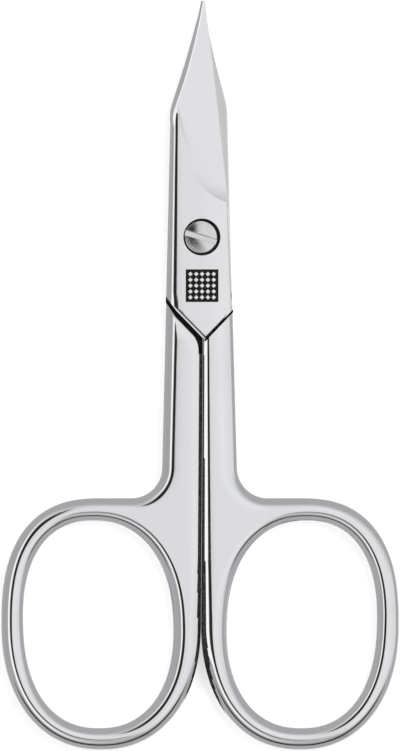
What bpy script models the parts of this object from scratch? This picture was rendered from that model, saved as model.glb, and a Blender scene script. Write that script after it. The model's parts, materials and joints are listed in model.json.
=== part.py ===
"""Nail scissors: two forged halves that turn on one slotted screw.

Metres, +Z up. The scissors lie flat and closed, tip towards +Y, and the front half's face looks up. The origin is the
middle of the underside of the whole outline. Each half is drawn in its own frame, seen from its own outer face, with
x from the middle line between the rings and y from the pivot; the rear half is then turned over.
"""

from math import atan, cos, pi, radians, sin

import bmesh
import bpy
from mathutils import Matrix, Vector

# Reach along the scissors, from the pivot
BLADE_REACH = 0.0284
HANDLE_REACH = 0.0616

# Finger rings: the outside oval, the loop for the finger and the steel between them
RING_WIDTH = 0.0239
RING_LENGTH = 0.03034
RING_HIGH_POWER = 2.5
RING_LOW_POWER = 2.2
RIM_WIDTH = 0.00273
SEAM_RIM_WIDTH = 0.00325
TOP_RIM_WIDTH = 0.00281
LOOP_POWER = 2.3
LOOP_LEAN = 0.00033
LOOP_BOW = 0.00024

# Shanks: how far their outer sides stand from the middle line, at the shoulder and at the ring
HANDLE_THICK = 0.003
FRONT_SHANK_TOP = 0.0039
FRONT_SHANK_LOW = 0.0046
REAR_SHANK_TOP = 0.0041
REAR_SHANK_LOW = 0.0047
SHANK_FILLET = 0.0036
SHANK_GAP = 0.0001

# Rounded edges, as seen from the face
SIDE_ROUND = 0.0015
RING_ROUND = 0.00128
SEAM_ROUND = 0.001
EDGE_BREAK = 0.0002

# Shoulders, where the shank of one half makes room for the joint box of the other
SHOULDER_SIDE = 0.0041
SHOULDER_DOWN = 0.0071
SHOULDER_BEND_SIDE = 0.0029
SHOULDER_BEND_DOWN = 0.00896
SHOULDER_SEAM_DOWN = 0.01224
SHOULDER_GAP = 0.00065

# Joint box: half widths from the joint's own middle line, which stands a little left of the rings' one
JOINT_SIDE = -0.00015
JOINT_GAP = 0.0001
BOX_DROP = 0.00025
BOX_LOW_HALF = 0.004
BOX_HIGH_HALF = 0.00343
BOX_LOW_ROUND = 0.0016
BOX_HIGH_ROUND = 0.00095
BOX_EDGE_ROUND = 0.0007
STEP_SIDE = 0.00383
STEP_DOWN = 0.00882
STEP_SEAM_DOWN = 0.01285
STEP_ROUND = 0.00022
BURIED = 0.001

# Blades
FRONT_BEND_UP = 0.01543
REAR_BEND_UP = 0.0155
BEND_FILLET = 0.003
FRONT_TIP_SIDE = 0.00055
REAR_TIP_SIDE = -0.00042
TIP_WIDTH = 0.0004
SPINE_HOLLOW = 0.00026
EDGE_BULGE = 0.00025
EDGE_HEEL_UP = 0.005
EDGE_HEEL_HALF = 0.00339
BLADE_EDGE_ROUND = 0.00018

# Spine facet: a flat from the bend to the tip
FACET_WIDTH = 0.00055
FACET_ANGLE = radians(38)
FACET_BEND_HEIGHT = 0.00055
FACET_TIP_HEIGHT = 0.00004

# Ground face of a blade: a plane that falls towards the edge and the tip, with a round heel
GRIND_HEEL_RADIUS = 0.0061
GRIND_SIDE = -0.0026
GRIND_UP = 0.0103
GRIND_EDGE_FALL = 0.09
GRIND_TIP_FALL = 0.03
GRIND_RUNOUT = 0.0014

# Pivot screw: its head lies in a recess, and its end is flush with the back
PIVOT_SIDE = 0.0001
HEAD_RADIUS = 0.00196
HEAD_THICK = 0.00058
HEAD_CROWN = 0.00016
HEAD_BREAK = 0.00012
SLOT_WIDTH = 0.0007
SLOT_DEPTH = 0.0004
SLOT_TURN = radians(-17)
SHAFT_RADIUS = 0.0011
SHAFT_CLEARANCE = 0.00005
SCREW_SEAT = 0.00005
SCREW_END_SINK = 0.00004
RECESS_RADIUS = 0.00222
RECESS_OFFSET = 0.00013

# One overrun serves every cut, and points nearer than this to each other are one
OVERRUN = 0.0015
SAME_PLACE = 0.000001

# Fineness of the round stretches
RING_STEPS = 72
LOOP_STEPS = 60
FILLET_STEPS = 7
EDGE_STEPS = 6
ROUND_STEPS = 48
BOW_STEPS = 8

# A rounded edge rises a little more than it is wide, and leaves a narrow flat at mid thickness
RISE_SHARE = 1.1
MOST_RISE_SHARE = 0.95

PIVOT_UP = (HANDLE_REACH - BLADE_REACH) / 2
LOOP_WIDTH = RING_WIDTH - RIM_WIDTH - SEAM_RIM_WIDTH
LOOP_LENGTH = RING_LENGTH - RIM_WIDTH - TOP_RIM_WIDTH
MIDDLE = HANDLE_THICK / 2
BOX_LOW = MIDDLE + JOINT_GAP / 2
BOX_TOP = HANDLE_THICK - BOX_DROP
HEAD_TOP = BOX_TOP + HEAD_CROWN / 2
HEAD_LOW = HEAD_TOP - HEAD_CROWN - HEAD_THICK


class Half:
    """The sizes in which the two halves differ; side is 1 for the front half and -1 for the rear one."""

    def __init__(self, name, side, shank_top, shank_low, bend_up, tip_side):
        self.name = name
        self.side = side
        self.shank_top = shank_top
        self.shank_low = shank_low
        self.bend_up = bend_up
        self.joint_side = side * JOINT_SIDE
        self.tip_side = self.joint_side + tip_side
        self.pivot_side = side * PIVOT_SIDE


def clear_scene():
    for old in list(bpy.data.objects):
        bpy.data.objects.remove(old)


def steel(name, colour, roughness):
    material = bpy.data.materials.new(name)
    material.use_nodes = True
    shader = material.node_tree.nodes["Principled BSDF"]
    shader.inputs["Base Color"].default_value = colour
    shader.inputs["Metallic"].default_value = 1
    shader.inputs["Roughness"].default_value = roughness
    return material


def show(name, mesh, material=None):
    """An object that belongs to the model, shaded smooth across its rounded edges."""
    mesh.shade_smooth()
    mesh.set_sharp_from_angle(angle=radians(35))
    if material:
        mesh.materials.append(material)
    shown = bpy.data.objects.new(name, mesh)
    bpy.context.collection.objects.link(shown)
    return shown


def guide(shape, owner):
    """Marks a shape as a cutter, or as a part of another shape, that moves with its owner."""
    shape.hide_render = True
    shape.display_type = "WIRE"
    shape.parent = owner
    return shape


def combine(owner, shape, operation):
    change = owner.modifiers.new(shape.name, "BOOLEAN")
    change.operation = operation
    change.object = shape


def point(x, y, edge_round=0.0):
    """An outline's point: its place, and how wide the edge is rounded there."""
    return Vector((x, y, edge_round))


def bowed(start, end, rise):
    """Points on a shallow arc after start and before end, which bows to the left of its direction by rise."""
    along = end - start
    left = Vector((-along.y, along.x, 0)).normalized() * rise
    shares = [step / BOW_STEPS for step in range(1, BOW_STEPS)]
    return [start + along * share + left * 4 * share * (1 - share) for share in shares]


def filleted(before, corner, after, radius):
    """The round stretch that takes the place of a corner."""
    first = (before - corner).to_2d().normalized()
    second = (after - corner).to_2d().normalized()
    half_angle = first.angle(second) / 2
    reach = radius / (sin(half_angle) / cos(half_angle))
    centre = corner.to_2d() + (first + second).normalized() * radius / sin(half_angle)
    start = corner.to_2d() + first * reach - centre
    turn = (corner.to_2d() + second * reach - centre).angle_signed(start)
    shares = [step / FILLET_STEPS for step in range(FILLET_STEPS + 1)]
    arc = [centre + Matrix.Rotation(turn * share, 2) @ start for share in shares]
    return [point(place.x, place.y, corner.z) for place in arc]


def oval(centre, half_width, half_length, low_power, high_power, start, end, steps, edge_round):
    """Points on a full oval curve, from one angle to another."""
    points = []
    for step in range(steps + 1):
        angle = start + (end - start) * step / steps
        aside, up = cos(angle), sin(angle)
        power = low_power if up < 0 else high_power
        size = (abs(aside) ** power + abs(up) ** power) ** (-1 / power)
        points.append(point(centre.x + half_width * aside * size, centre.y + half_length * up * size, edge_round))
    return points


def edge_rows(edge_round, low, high, round_low, round_high):
    """Inset and height of each row of points up a side wall, from the low face to the high one."""
    rounds = 2 if round_low and round_high else 1
    rise = min(edge_round * RISE_SHARE, (high - low) / rounds * MOST_RISE_SHARE)
    angles = [step / EDGE_STEPS * pi / 2 for step in range(EDGE_STEPS + 1)]
    upper = [(edge_round * (1 - cos(angle)), rise * (1 - sin(angle))) for angle in angles]
    rows = [(inset, low + drop) for inset, drop in reversed(upper)] if round_low else [(0, low)]
    return rows + ([(inset, high - drop) for inset, drop in upper] if round_high else [(0, high)])


def inward(before, here, after):
    """The mitred direction into the material, which lies to the left of the outline."""
    first = (here - before).to_2d().normalized()
    second = (after - here).to_2d().normalized()
    left = Vector((-first.y - second.y, first.x + second.x))
    return left / (1 + first.dot(second))


def plate(name, loops, low, high, round_low=True, round_high=True):
    """A flat solid with rounded edges. The first loop is its outline, and any others are holes."""
    mesh = bmesh.new()
    low_edges, high_edges = [], []
    for loop in loops:
        columns = []
        for index, here in enumerate(loop):
            way = inward(loop[index - 1], here, loop[(index + 1) % len(loop)])
            rows = edge_rows(here.z, low, high, round_low, round_high)
            columns.append([mesh.verts.new((*(here.to_2d() + way * inset), height)) for inset, height in rows])
        for index, column in enumerate(columns):
            other = columns[(index + 1) % len(columns)]
            for row in range(len(column) - 1):
                mesh.faces.new((column[row], other[row], other[row + 1], column[row + 1]))
            low_edges.append(mesh.edges.get((column[0], other[0])))
            high_edges.append(mesh.edges.get((column[-1], other[-1])))
    bmesh.ops.triangle_fill(mesh, edges=low_edges, use_beauty=True, normal=(0, 0, -1))
    bmesh.ops.triangle_fill(mesh, edges=high_edges, use_beauty=True, normal=(0, 0, 1))
    bmesh.ops.recalc_face_normals(mesh, faces=mesh.faces)
    data = bpy.data.meshes.new(name)
    mesh.to_mesh(data)
    mesh.free()
    return data


def turned(name, profile):
    """A solid turned about Z. The profile runs from the axis at the bottom to the axis at the top."""
    mesh = bmesh.new()
    verts = [mesh.verts.new((radius, 0, height)) for radius, height in profile]
    edges = [mesh.edges.new(pair) for pair in zip(verts, verts[1:])]
    bmesh.ops.spin(mesh, geom=verts + edges, axis=(0, 0, 1), angle=2 * pi, steps=ROUND_STEPS, use_merge=True)
    bmesh.ops.remove_doubles(mesh, verts=mesh.verts, dist=SAME_PLACE)
    bmesh.ops.recalc_face_normals(mesh, faces=mesh.faces)
    data = bpy.data.meshes.new(name)
    mesh.to_mesh(data)
    mesh.free()
    return data


def shoulder_line(shift):
    """The line between a box and the other half's shank, from the outside in, moved along the scissors by shift."""
    return [
        point(SHOULDER_SIDE, shift - SHOULDER_DOWN),
        point(SHOULDER_BEND_SIDE, shift - SHOULDER_BEND_DOWN),
        point(0, shift - SHOULDER_SEAM_DOWN),
    ]


def height_on(line, x):
    """The y of a straight line through two points at x."""
    first, second = line
    return first.y + (second.y - first.y) * (x - first.x) / (second.x - first.x)


def handle_outline(half):
    """Shank and ring in one, the ring to the right, anticlockwise from the top of the seam."""
    seam = SHANK_GAP / 2
    top = OVERRUN - SHOULDER_DOWN
    centre = point(seam + RING_WIDTH / 2, RING_LENGTH / 2 - HANDLE_REACH)
    ring = oval(centre, RING_WIDTH / 2, RING_LENGTH / 2, RING_LOW_POWER, RING_HIGH_POWER,
                pi, pi * 5 / 2, RING_STEPS, RING_ROUND)
    corner = point(half.shank_low, ring[-1].y, SIDE_ROUND)
    shank_top = point(half.shank_top, top, EDGE_BREAK)
    seam_top = point(seam, top - OVERRUN, SEAM_ROUND)
    seam_low = point(seam, centre.y + RING_LENGTH / 4, SEAM_ROUND)
    below_top = corner.lerp(shank_top, 1 - OVERRUN / (top - corner.y))
    below_top.z = SIDE_ROUND
    return [
        point(seam, top, EDGE_BREAK), seam_top, seam_low, *ring,
        *filleted(ring[-1], corner, shank_top, SHANK_FILLET), below_top, shank_top,
    ]


def loop_outline():
    """The finger's loop, clockwise, which leans outwards at its top."""
    side = SHANK_GAP / 2 + RING_WIDTH - RIM_WIDTH - LOOP_WIDTH / 2
    centre = point(side, RIM_WIDTH + LOOP_LENGTH / 2 - HANDLE_REACH)
    points = oval(centre, LOOP_WIDTH / 2, LOOP_LENGTH / 2, LOOP_POWER, LOOP_POWER,
                  2 * pi, 0, LOOP_STEPS, RING_ROUND)[:-1]
    for place in points:
        share = (place.y - centre.y) / (LOOP_LENGTH / 2)
        place.x += LOOP_LEAN * share + LOOP_BOW * share ** 2
    return points


def blade_outline(half):
    """Blade and joint box in one, the spine to the left, anticlockwise from the tip."""
    tip = point(half.tip_side - TIP_WIDTH / 2, BLADE_REACH, EDGE_BREAK / 4)
    tip_right = point(half.tip_side + TIP_WIDTH / 2, BLADE_REACH, EDGE_BREAK / 4)
    bend = point(half.joint_side - BOX_HIGH_HALF, half.bend_up, BOX_HIGH_ROUND)
    before_bend = bend.lerp(tip, BEND_FILLET / BLADE_REACH)
    before_bend.z = EDGE_BREAK
    gap_line = [point(-place.x, place.y) for place in shoulder_line(SHOULDER_GAP / 2)]
    low_side = half.joint_side - BOX_LOW_HALF
    low = point(low_side, height_on(gap_line[:2], low_side), BOX_LOW_ROUND)
    gap_line[1].z = BOX_EDGE_ROUND
    seam = SHANK_GAP
    vertex = point(seam, height_on(gap_line[1:], seam), BOX_EDGE_ROUND)
    step = [point(STEP_SIDE, -STEP_DOWN), point(0, -STEP_SEAM_DOWN)]
    edge_low = point(half.joint_side + BOX_LOW_HALF, height_on(step, half.joint_side + BOX_LOW_HALF), EDGE_BREAK)
    heel = point(half.joint_side + EDGE_HEEL_HALF, EDGE_HEEL_UP, BLADE_EDGE_ROUND)
    return [
        tip, *bowed(tip, before_bend, SPINE_HOLLOW),
        *filleted(tip, bend, low, BEND_FILLET), low, gap_line[1], vertex,
        point(vertex.x + BURIED / 2, vertex.y - BURIED, EDGE_BREAK),
        point(edge_low.x - BURIED, edge_low.y - BURIED, EDGE_BREAK),
        edge_low, heel, *bowed(heel, tip_right, -EDGE_BULGE), tip_right,
    ]


def grind_cutter(half, owner):
    """The space over the ground face: flat and tilted underneath, with a round heel towards the box."""
    heel, far, bend = GRIND_HEEL_RADIUS, BLADE_REACH, half.bend_up - GRIND_UP
    arc = [pi + pi / 2 * step / FILLET_STEPS for step in range(FILLET_STEPS + 1)]
    points = [point(far, far, EDGE_BREAK), point(-heel, far, EDGE_BREAK),
              point(-heel, bend + heel, EDGE_BREAK), point(0, bend, EDGE_BREAK)]
    points += [point(heel + heel * cos(angle), heel * sin(angle), GRIND_RUNOUT) for angle in arc]
    points.append(point(far, -heel, GRIND_RUNOUT))
    cutter = guide(show(f"{half.name}_grind", plate(
        f"{half.name}_grind", [points], 0, GRIND_HEEL_RADIUS, round_high=False)), owner)
    cutter.location = (half.joint_side + GRIND_SIDE, GRIND_UP, BOX_TOP)
    cutter.rotation_euler = (-atan(GRIND_TIP_FALL), atan(GRIND_EDGE_FALL), 0)
    return cutter


def block(name, size_x, size_y, size_z):
    """A box whose low left corner stands at its origin."""
    mesh = bmesh.new()
    bmesh.ops.create_cube(mesh, size=1)
    bmesh.ops.translate(mesh, verts=mesh.verts, vec=(0.5, 0.5, 0.5))
    bmesh.ops.scale(mesh, verts=mesh.verts, vec=(size_x, size_y, size_z))
    data = bpy.data.meshes.new(name)
    mesh.to_mesh(data)
    mesh.free()
    return data


def facet_cutter(half, owner):
    """A block whose underside lies on the spine's facet, from beyond the tip to the bend."""
    low = Vector((half.joint_side - BOX_HIGH_HALF, half.bend_up, BOX_LOW + FACET_BEND_HEIGHT))
    high = Vector((half.tip_side - TIP_WIDTH / 2, BLADE_REACH, BOX_LOW + FACET_TIP_HEIGHT))
    along = (high - low).normalized()
    across = Vector((along.y * cos(FACET_ANGLE), -along.x * cos(FACET_ANGLE), sin(FACET_ANGLE)))
    across = (across - along * across.dot(along)).normalized()
    out = across.cross(along)
    cutter = guide(show(f"{half.name}_facet", block(
        f"{half.name}_facet", FACET_WIDTH * 4, (high - low).length + OVERRUN, OVERRUN)), owner)
    start = low - across * FACET_WIDTH * 2
    cutter.matrix_local = Matrix.Translation(start) @ Matrix((across, along, out)).transposed().to_4x4()
    return cutter


def shoulder_cutter(half, owner):
    """The space that the other half's box takes out of this half's shank."""
    outer, bend, seam = shoulder_line(-SHOULDER_GAP / 2)
    far_out = point(outer.x + OVERRUN, height_on((outer, bend), outer.x + OVERRUN))
    far_in = point(-OVERRUN, height_on((bend, seam), -OVERRUN))
    points = [far_in, bend, far_out, point(far_out.x, 0), point(-OVERRUN, 0)]
    return guide(show(f"{half.name}_shoulder", plate(
        f"{half.name}_shoulder", [points], -OVERRUN, HANDLE_THICK + OVERRUN, False, False)), owner)


def step_cutter(half, owner):
    """The space over the box's face, up to the step in the shank; its low edge is round."""
    line = [point(STEP_SIDE, -STEP_DOWN), point(0, -STEP_SEAM_DOWN)]
    right, left = STEP_SIDE + OVERRUN, -OVERRUN
    points = [point(left, height_on(line, left), STEP_ROUND), point(right, height_on(line, right), STEP_ROUND),
              point(right, 0, STEP_ROUND), point(left, 0, STEP_ROUND)]
    return guide(show(f"{half.name}_step", plate(
        f"{half.name}_step", [points], BOX_TOP, HANDLE_THICK + OVERRUN, True, False)), owner)


def hole(name, half, owner, radius, low, high, offset=0.0):
    """A round cutter on the pivot, or a little beside it."""
    cutter = guide(show(name, turned(name, [(0, low), (radius, low), (radius, high), (0, high)])), owner)
    cutter.location = (half.pivot_side + offset, 0, 0)
    return cutter


def blade(half, owner):
    """Blade and joint box, as a shape that the handle is joined to."""
    name = f"{half.name}_blade"
    shape = guide(show(name, plate(name, [blade_outline(half)], BOX_LOW, BOX_TOP, round_low=False)), owner)
    combine(shape, grind_cutter(half, owner), "DIFFERENCE")
    combine(shape, facet_cutter(half, owner), "DIFFERENCE")
    return shape


def scissor_half(half, material):
    """One forging: ring and shank, made room for the other box, joined to their own box and blade."""
    made = show(half.name, plate(half.name, [handle_outline(half), loop_outline()], 0, HANDLE_THICK), material)
    combine(made, shoulder_cutter(half, made), "DIFFERENCE")
    combine(made, blade(half, made), "UNION")
    combine(made, step_cutter(half, made), "DIFFERENCE")
    bore = hole(f"{half.name}_bore", half, made, SHAFT_RADIUS + SHAFT_CLEARANCE, -OVERRUN, HANDLE_THICK + OVERRUN)
    combine(made, bore, "DIFFERENCE")
    return made


def front_half(material, pivot):
    """The front half turns on the pivot and holds the recess for the screw's head."""
    half = Half("front_half", 1, FRONT_SHANK_TOP, FRONT_SHANK_LOW, FRONT_BEND_UP, FRONT_TIP_SIDE)
    made = scissor_half(half, material)
    recess = hole("head_recess", half, made, RECESS_RADIUS, HEAD_LOW - SCREW_SEAT, HANDLE_THICK + OVERRUN,
                  RECESS_OFFSET)
    combine(made, recess, "DIFFERENCE")
    made.parent = pivot
    made.location = (-PIVOT_SIDE, 0, 0)


def rear_half(material):
    """The rear half is drawn like the front one and turned over about the scissors' length."""
    half = Half("rear_half", -1, REAR_SHANK_TOP, REAR_SHANK_LOW, REAR_BEND_UP, REAR_TIP_SIDE)
    made = scissor_half(half, material)
    made.location = (0, PIVOT_UP, HANDLE_THICK)
    made.rotation_euler = (0, pi, 0)


def pivot_screw(material):
    """A slotted screw with a slightly domed head and a plain shaft that ends flush with the back."""
    end = BOX_DROP + SCREW_END_SINK
    crown = [share / EDGE_STEPS for share in range(EDGE_STEPS, -1, -1)]
    rim = HEAD_RADIUS - HEAD_BREAK
    low = HEAD_TOP - HEAD_CROWN
    profile = [(0, end), (SHAFT_RADIUS - HEAD_BREAK, end), (SHAFT_RADIUS, end + HEAD_BREAK), (SHAFT_RADIUS, HEAD_LOW),
               (HEAD_RADIUS, HEAD_LOW), (HEAD_RADIUS, low - HEAD_BREAK)]
    profile += [(rim * share, low + HEAD_CROWN * (1 - share ** 2)) for share in crown]
    screw = show("pivot_screw", turned("pivot_screw", profile), material)
    screw.location = (PIVOT_SIDE, PIVOT_UP, 0)
    slot = guide(show("screw_slot", block("screw_slot", 4 * HEAD_RADIUS, SLOT_WIDTH, OVERRUN)), screw)
    corner = Vector((-2 * HEAD_RADIUS, -SLOT_WIDTH / 2, HEAD_TOP - SLOT_DEPTH))
    slot.matrix_local = Matrix.Rotation(SLOT_TURN, 4, "Z") @ Matrix.Translation(corner)
    combine(screw, slot, "DIFFERENCE")


def main():
    clear_scene()
    polished = steel("polished_steel", (0.78, 0.79, 0.8, 1), 0.08)
    turned_steel = steel("turned_steel", (0.7, 0.7, 0.71, 1), 0.22)
    pivot = bpy.data.objects.new("blade_pivot", None)
    pivot.location = (PIVOT_SIDE, PIVOT_UP, 0)
    bpy.context.collection.objects.link(pivot)
    front_half(polished, pivot)
    rear_half(polished)
    pivot_screw(turned_steel)


main()
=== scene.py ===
"""Nail scissors: two polished halves on one slotted screw, with a small etched panel on the joint box.

Metres, +Z up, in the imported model's own frame: the scissors lie flat and closed on the floor, tip towards +Y.
Each half is drawn in its own frame, seen from its own outer face, with x from the middle line between the
rings and y from the pivot; the rear half is then turned over.
"""

import json
import logging
from dataclasses import dataclass, replace
from enum import Enum
from math import atan, cos, pi, radians, sin, tan

import bmesh
import bpy
from mathutils import Matrix, Vector


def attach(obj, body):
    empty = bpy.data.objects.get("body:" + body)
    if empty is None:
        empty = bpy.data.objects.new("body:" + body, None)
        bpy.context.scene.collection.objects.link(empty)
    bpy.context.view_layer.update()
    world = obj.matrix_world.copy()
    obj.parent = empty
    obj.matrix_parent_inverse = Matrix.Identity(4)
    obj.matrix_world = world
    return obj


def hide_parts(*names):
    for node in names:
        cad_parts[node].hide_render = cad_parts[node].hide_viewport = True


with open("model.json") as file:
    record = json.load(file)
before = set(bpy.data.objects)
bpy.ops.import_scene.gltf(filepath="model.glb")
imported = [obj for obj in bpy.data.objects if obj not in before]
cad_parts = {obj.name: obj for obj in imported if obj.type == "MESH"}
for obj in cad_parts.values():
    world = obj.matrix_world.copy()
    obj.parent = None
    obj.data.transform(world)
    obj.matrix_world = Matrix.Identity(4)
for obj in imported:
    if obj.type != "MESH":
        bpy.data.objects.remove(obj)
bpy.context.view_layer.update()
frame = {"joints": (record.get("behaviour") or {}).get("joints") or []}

log = logging.getLogger("nail_scissors")

MM = 0.001

SAME_PLACE = 0.0001 * MM
"""Points nearer than this to each other are one."""
SLIVER = 0.01 * MM
"""How far a bounding space stands off a face that it leaves as it is."""
OVERRUN = 1.5 * MM
"""How far a cutter goes past what it cuts."""
SHARP = radians(16)
"""Edges that turn by more than this are shaded sharp."""
PAINTED_SHADE_SLACK = 1.001
# A row of faces is still dull and painted dark as shade if it ends this much beyond the painted shade zone.
"""A row of faces is still dull if it ends this much beyond the dull zone."""
QUARTER_STEPS = 6
"""How many stretches make the quarter round of a turned solid."""
QUARTER_ROUND = tuple(step / QUARTER_STEPS * pi / 2 for step in range(QUARTER_STEPS + 1))
"""The angles of that quarter round."""


class Side(Enum):
    """Which half of the scissors a piece belongs to, and the body that it rides on."""

    FRONT = "front_body"
    REAR = "rear_body"


class Cut(Enum):
    """How a shape changes the one that carries it."""

    JOIN = "UNION"
    TAKE = "DIFFERENCE"
    KEEP = "INTERSECT"


@dataclass(frozen=True)
class EdgeForm:
    """The section of a rounded edge: a small round corner, a slanting flank and a softer shoulder.

    Attributes:
        corner_share: Reach of the round corner, as a share of the whole edge.
        corner_steps: How many rows of faces the corner has.
        flank_shares: Place of each bend of the flank and shoulder, as a share of the edge.
        flank_tilts: Tilt of the surface at each of these places, in degrees.
        flank_steps: How many rows lie between two of them.
        tail_steps: How many rows the tail has.
        tail_curve: How fast a tail's slope grows, per metre.
    """

    corner_share: float = 0.03
    corner_steps: int = 3
    flank_shares: tuple[float, ...] = (0.03, 0.2, 0.62, 0.74, 0.8, 1.0)
    flank_tilts: tuple[float, ...] = (45, 42, 25, 15, 12.5, 4)
    flank_steps: int = 5
    tail_steps: int = 6
    tail_curve: float = 45.0

    def section(self, edge: float, tail: float, most: float) -> list[tuple[float, float]]:
        """The edge's rows.

        Args:
            edge: Reach of the edge.
            tail: Reach of its tail.
            most: The most of the height that it may take.

        Returns:
            Inset and drop below the face of each row, from the side wall to the face.
        """
        tilts = [radians(tilt) for tilt in self.flank_tilts]
        corner = self.corner_share * edge / (1 - cos(tilts[0]))
        path = []
        for step in range(self.corner_steps + 1):
            angle = (pi / 2 - tilts[0]) * step / self.corner_steps
            path.append((corner * (1 - cos(angle)), corner * sin(angle)))
        tilts[-1] = max(tilts[-1], atan(self.tail_curve * tail))
        for index in range(len(tilts) - 1):
            width = (self.flank_shares[index + 1] - self.flank_shares[index]) * edge / self.flank_steps
            for step in range(self.flank_steps):
                tilt = tilts[index] + (tilts[index + 1] - tilts[index]) * (step + 0.5) / self.flank_steps
                path.append((path[-1][0] + width, path[-1][1] + width * tan(tilt)))
        reach, rise = path[-1]
        squeeze = min(1.0, most / rise) if rise else 1.0
        tail_rise = self.tail_curve * tail ** 2 / 2
        rows = [(inset, tail_rise + (rise - height) * squeeze) for inset, height in path]
        for step in range(1, self.tail_steps + 1):
            share = step / self.tail_steps
            rows.append((reach + tail * share, tail_rise * (1 - share) ** 2))
        return rows

    def mixed(self, other: "EdgeForm", share: float) -> "EdgeForm":
        """A form between this one and another with the same tilts.

        Args:
            other: The other form.
            share: How much it has of the other one.

        Returns:
            The form.
        """
        return replace(self, flank_shares=tuple(
            mine + (theirs - mine) * share for mine, theirs in zip(self.flank_shares, other.flank_shares)))


PLAIN_EDGE = EdgeForm()
"""The outer edges of rings and shanks."""
LOOP_EDGE = EdgeForm(flank_shares=(0.03, 0.36, 0.66, 0.75, 0.79, 1.0))
"""A finger loop's edge, whose steep flank is wider."""
SEAM_EDGE = EdgeForm(flank_shares=(0.03, 0.05, 0.12, 0.66, 0.7, 1.0))
"""The front half's low edge along the seam between the shanks."""
BOX_EDGE = EdgeForm(flank_shares=(0.03, 0.2, 0.53, 0.65, 0.71, 1.0))
"""The left side of a box."""
CROWN_EDGE = EdgeForm(tail_curve=8.6)
"""The right side of a box, behind which the whole face eases up."""
SHOULDER_EDGE = EdgeForm(flank_shares=(0.02, 0.04, 0.06, 0.2, 0.26, 1.0))
"""The edge of a box along the shoulder line."""
SHANK_END = EdgeForm(flank_shares=(0.02, 0.05, 0.1, 0.3, 0.7, 1.0), flank_tilts=(45, 30, 12, 9, 8, 4))
"""The edge of a shank along the shoulder line."""
FOOT = EdgeForm(0.05, flank_shares=(0.05, 0.1, 0.2, 0.5, 0.8, 1.0), flank_tilts=(71, 64, 53, 30, 11.5, 0),
                tail_curve=0.0)
"""A plain quarter round at the foot of a cut."""
STEP_FOOT = EdgeForm(flank_shares=(0.03, 0.06, 0.12, 0.3, 0.6, 1.0), flank_tilts=(45, 32, 20, 13, 7, 0),
                     tail_curve=0.0)
"""The foot of the step beside the box, which runs out softly."""
HEEL_FOOT = EdgeForm(flank_shares=(0.03, 0.06, 0.12, 0.4, 0.7, 1.0), flank_tilts=(45, 30, 22, 15, 7.5, 0),
                     tail_curve=0.0)
"""The run-out of the grinding wheel at the blade's heel."""


@dataclass(frozen=True)
class Spot:
    """A point of an outline and the form of the edge there.

    Attributes:
        x: Place across the scissors.
        y: Place along the scissors.
        edge: How far in the rounded edge reaches.
        tail: How far the face goes on easing up beyond the rounded edge.
        dull: How far in from the side wall the steel is left unpolished and painted dark as shade, zero for
            nowhere.
        form: Section of the edge.
    """

    x: float
    y: float
    edge: float = 0.0
    tail: float = 0.0
    dull: float = 0.0
    form: EdgeForm = PLAIN_EDGE

    @property
    def place(self) -> Vector:
        """The point alone."""
        return Vector((self.x, self.y))

    def mixed(self, other: "Spot", share: float) -> "Spot":
        """A spot on the way to another one.

        Args:
            other: Where the way ends.
            share: How much of the way is gone.

        Returns:
            The spot there, with its edge, tail and painted shade zone mixed alike, and the form of the nearer
            one.
        """
        sizes = (mine + (theirs - mine) * share for mine, theirs in (
            (self.x, other.x), (self.y, other.y), (self.edge, other.edge), (self.tail, other.tail),
            (self.dull, other.dull)))
        return Spot(*sizes, self.form if share < 0.5 else other.form)


def height_on(first: Spot, second: Spot, x: float) -> float:
    """The y at x of the straight line through two spots.

    Args:
        first: One spot of the line.
        second: Another one.
        x: Where to read the line.

    Returns:
        The y there.
    """
    return first.y + (second.y - first.y) * (x - first.x) / (second.x - first.x)


def bowed(start: Spot, end: Spot, rise: float, steps: int = 24) -> list[Spot]:
    """A shallow arc between two spots, without its ends.

    Args:
        start: Where the arc begins.
        end: Where it ends.
        rise: How far it bows to the left of its direction.
        steps: How many stretches it has.

    Returns:
        The spots on the arc.
    """
    along = end.place - start.place
    left = Vector((-along.y, along.x)).normalized() * rise
    spots = []
    for step in range(1, steps):
        share = step / steps
        spot = start.mixed(end, share)
        lift = left * 4 * share * (1 - share)
        spots.append(replace(spot, x=spot.x + lift.x, y=spot.y + lift.y))
    return spots


def filleted(before: Spot, corner: Spot, after: Spot, radius: float, steps: int = 18) -> list[Spot]:
    """The round stretch that takes the place of a corner.

    Args:
        before: The spot that the outline comes from.
        corner: The corner itself.
        after: The spot that it goes on to.
        radius: Radius of the round stretch.
        steps: How many stretches it has.

    Returns:
        The spots on the arc, whose edges and tails pass from those of one side to those of the other.
    """
    first = (before.place - corner.place).normalized()
    second = (after.place - corner.place).normalized()
    half_angle = first.angle(second) / 2
    reach = radius / tan(half_angle)
    centre = corner.place + (first + second).normalized() * radius / sin(half_angle)
    start = corner.place + first * reach - centre
    turn = (corner.place + second * reach - centre).angle_signed(start)
    ends = before.mixed(corner, 0.5), corner.mixed(after, 0.5)
    spots = []
    for step in range(steps + 1):
        share = step / steps
        place = centre + Matrix.Rotation(turn * share, 2) @ start
        spots.append(replace(ends[0].mixed(ends[1], share), x=place.x, y=place.y))
    return spots


def eased(spots: list[Spot]) -> list[tuple[float, Spot]]:
    """The spots of a stretch, each with how much of the stretch is gone, eased in and out."""
    shares = [index / (len(spots) - 1) for index in range(len(spots))]
    return [(share ** 2 * (3 - 2 * share), spot) for share, spot in zip(shares, spots)]


def rectangle(left: float, low: float, right: float, high: float, edge: float = 0.0) -> tuple[Spot, ...]:
    """The corners of a rectangle, anticlockwise from the lower left one, with the reach of its edge."""
    return Spot(left, low, edge), Spot(right, low, edge), Spot(right, high, edge), Spot(left, high, edge)


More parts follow.
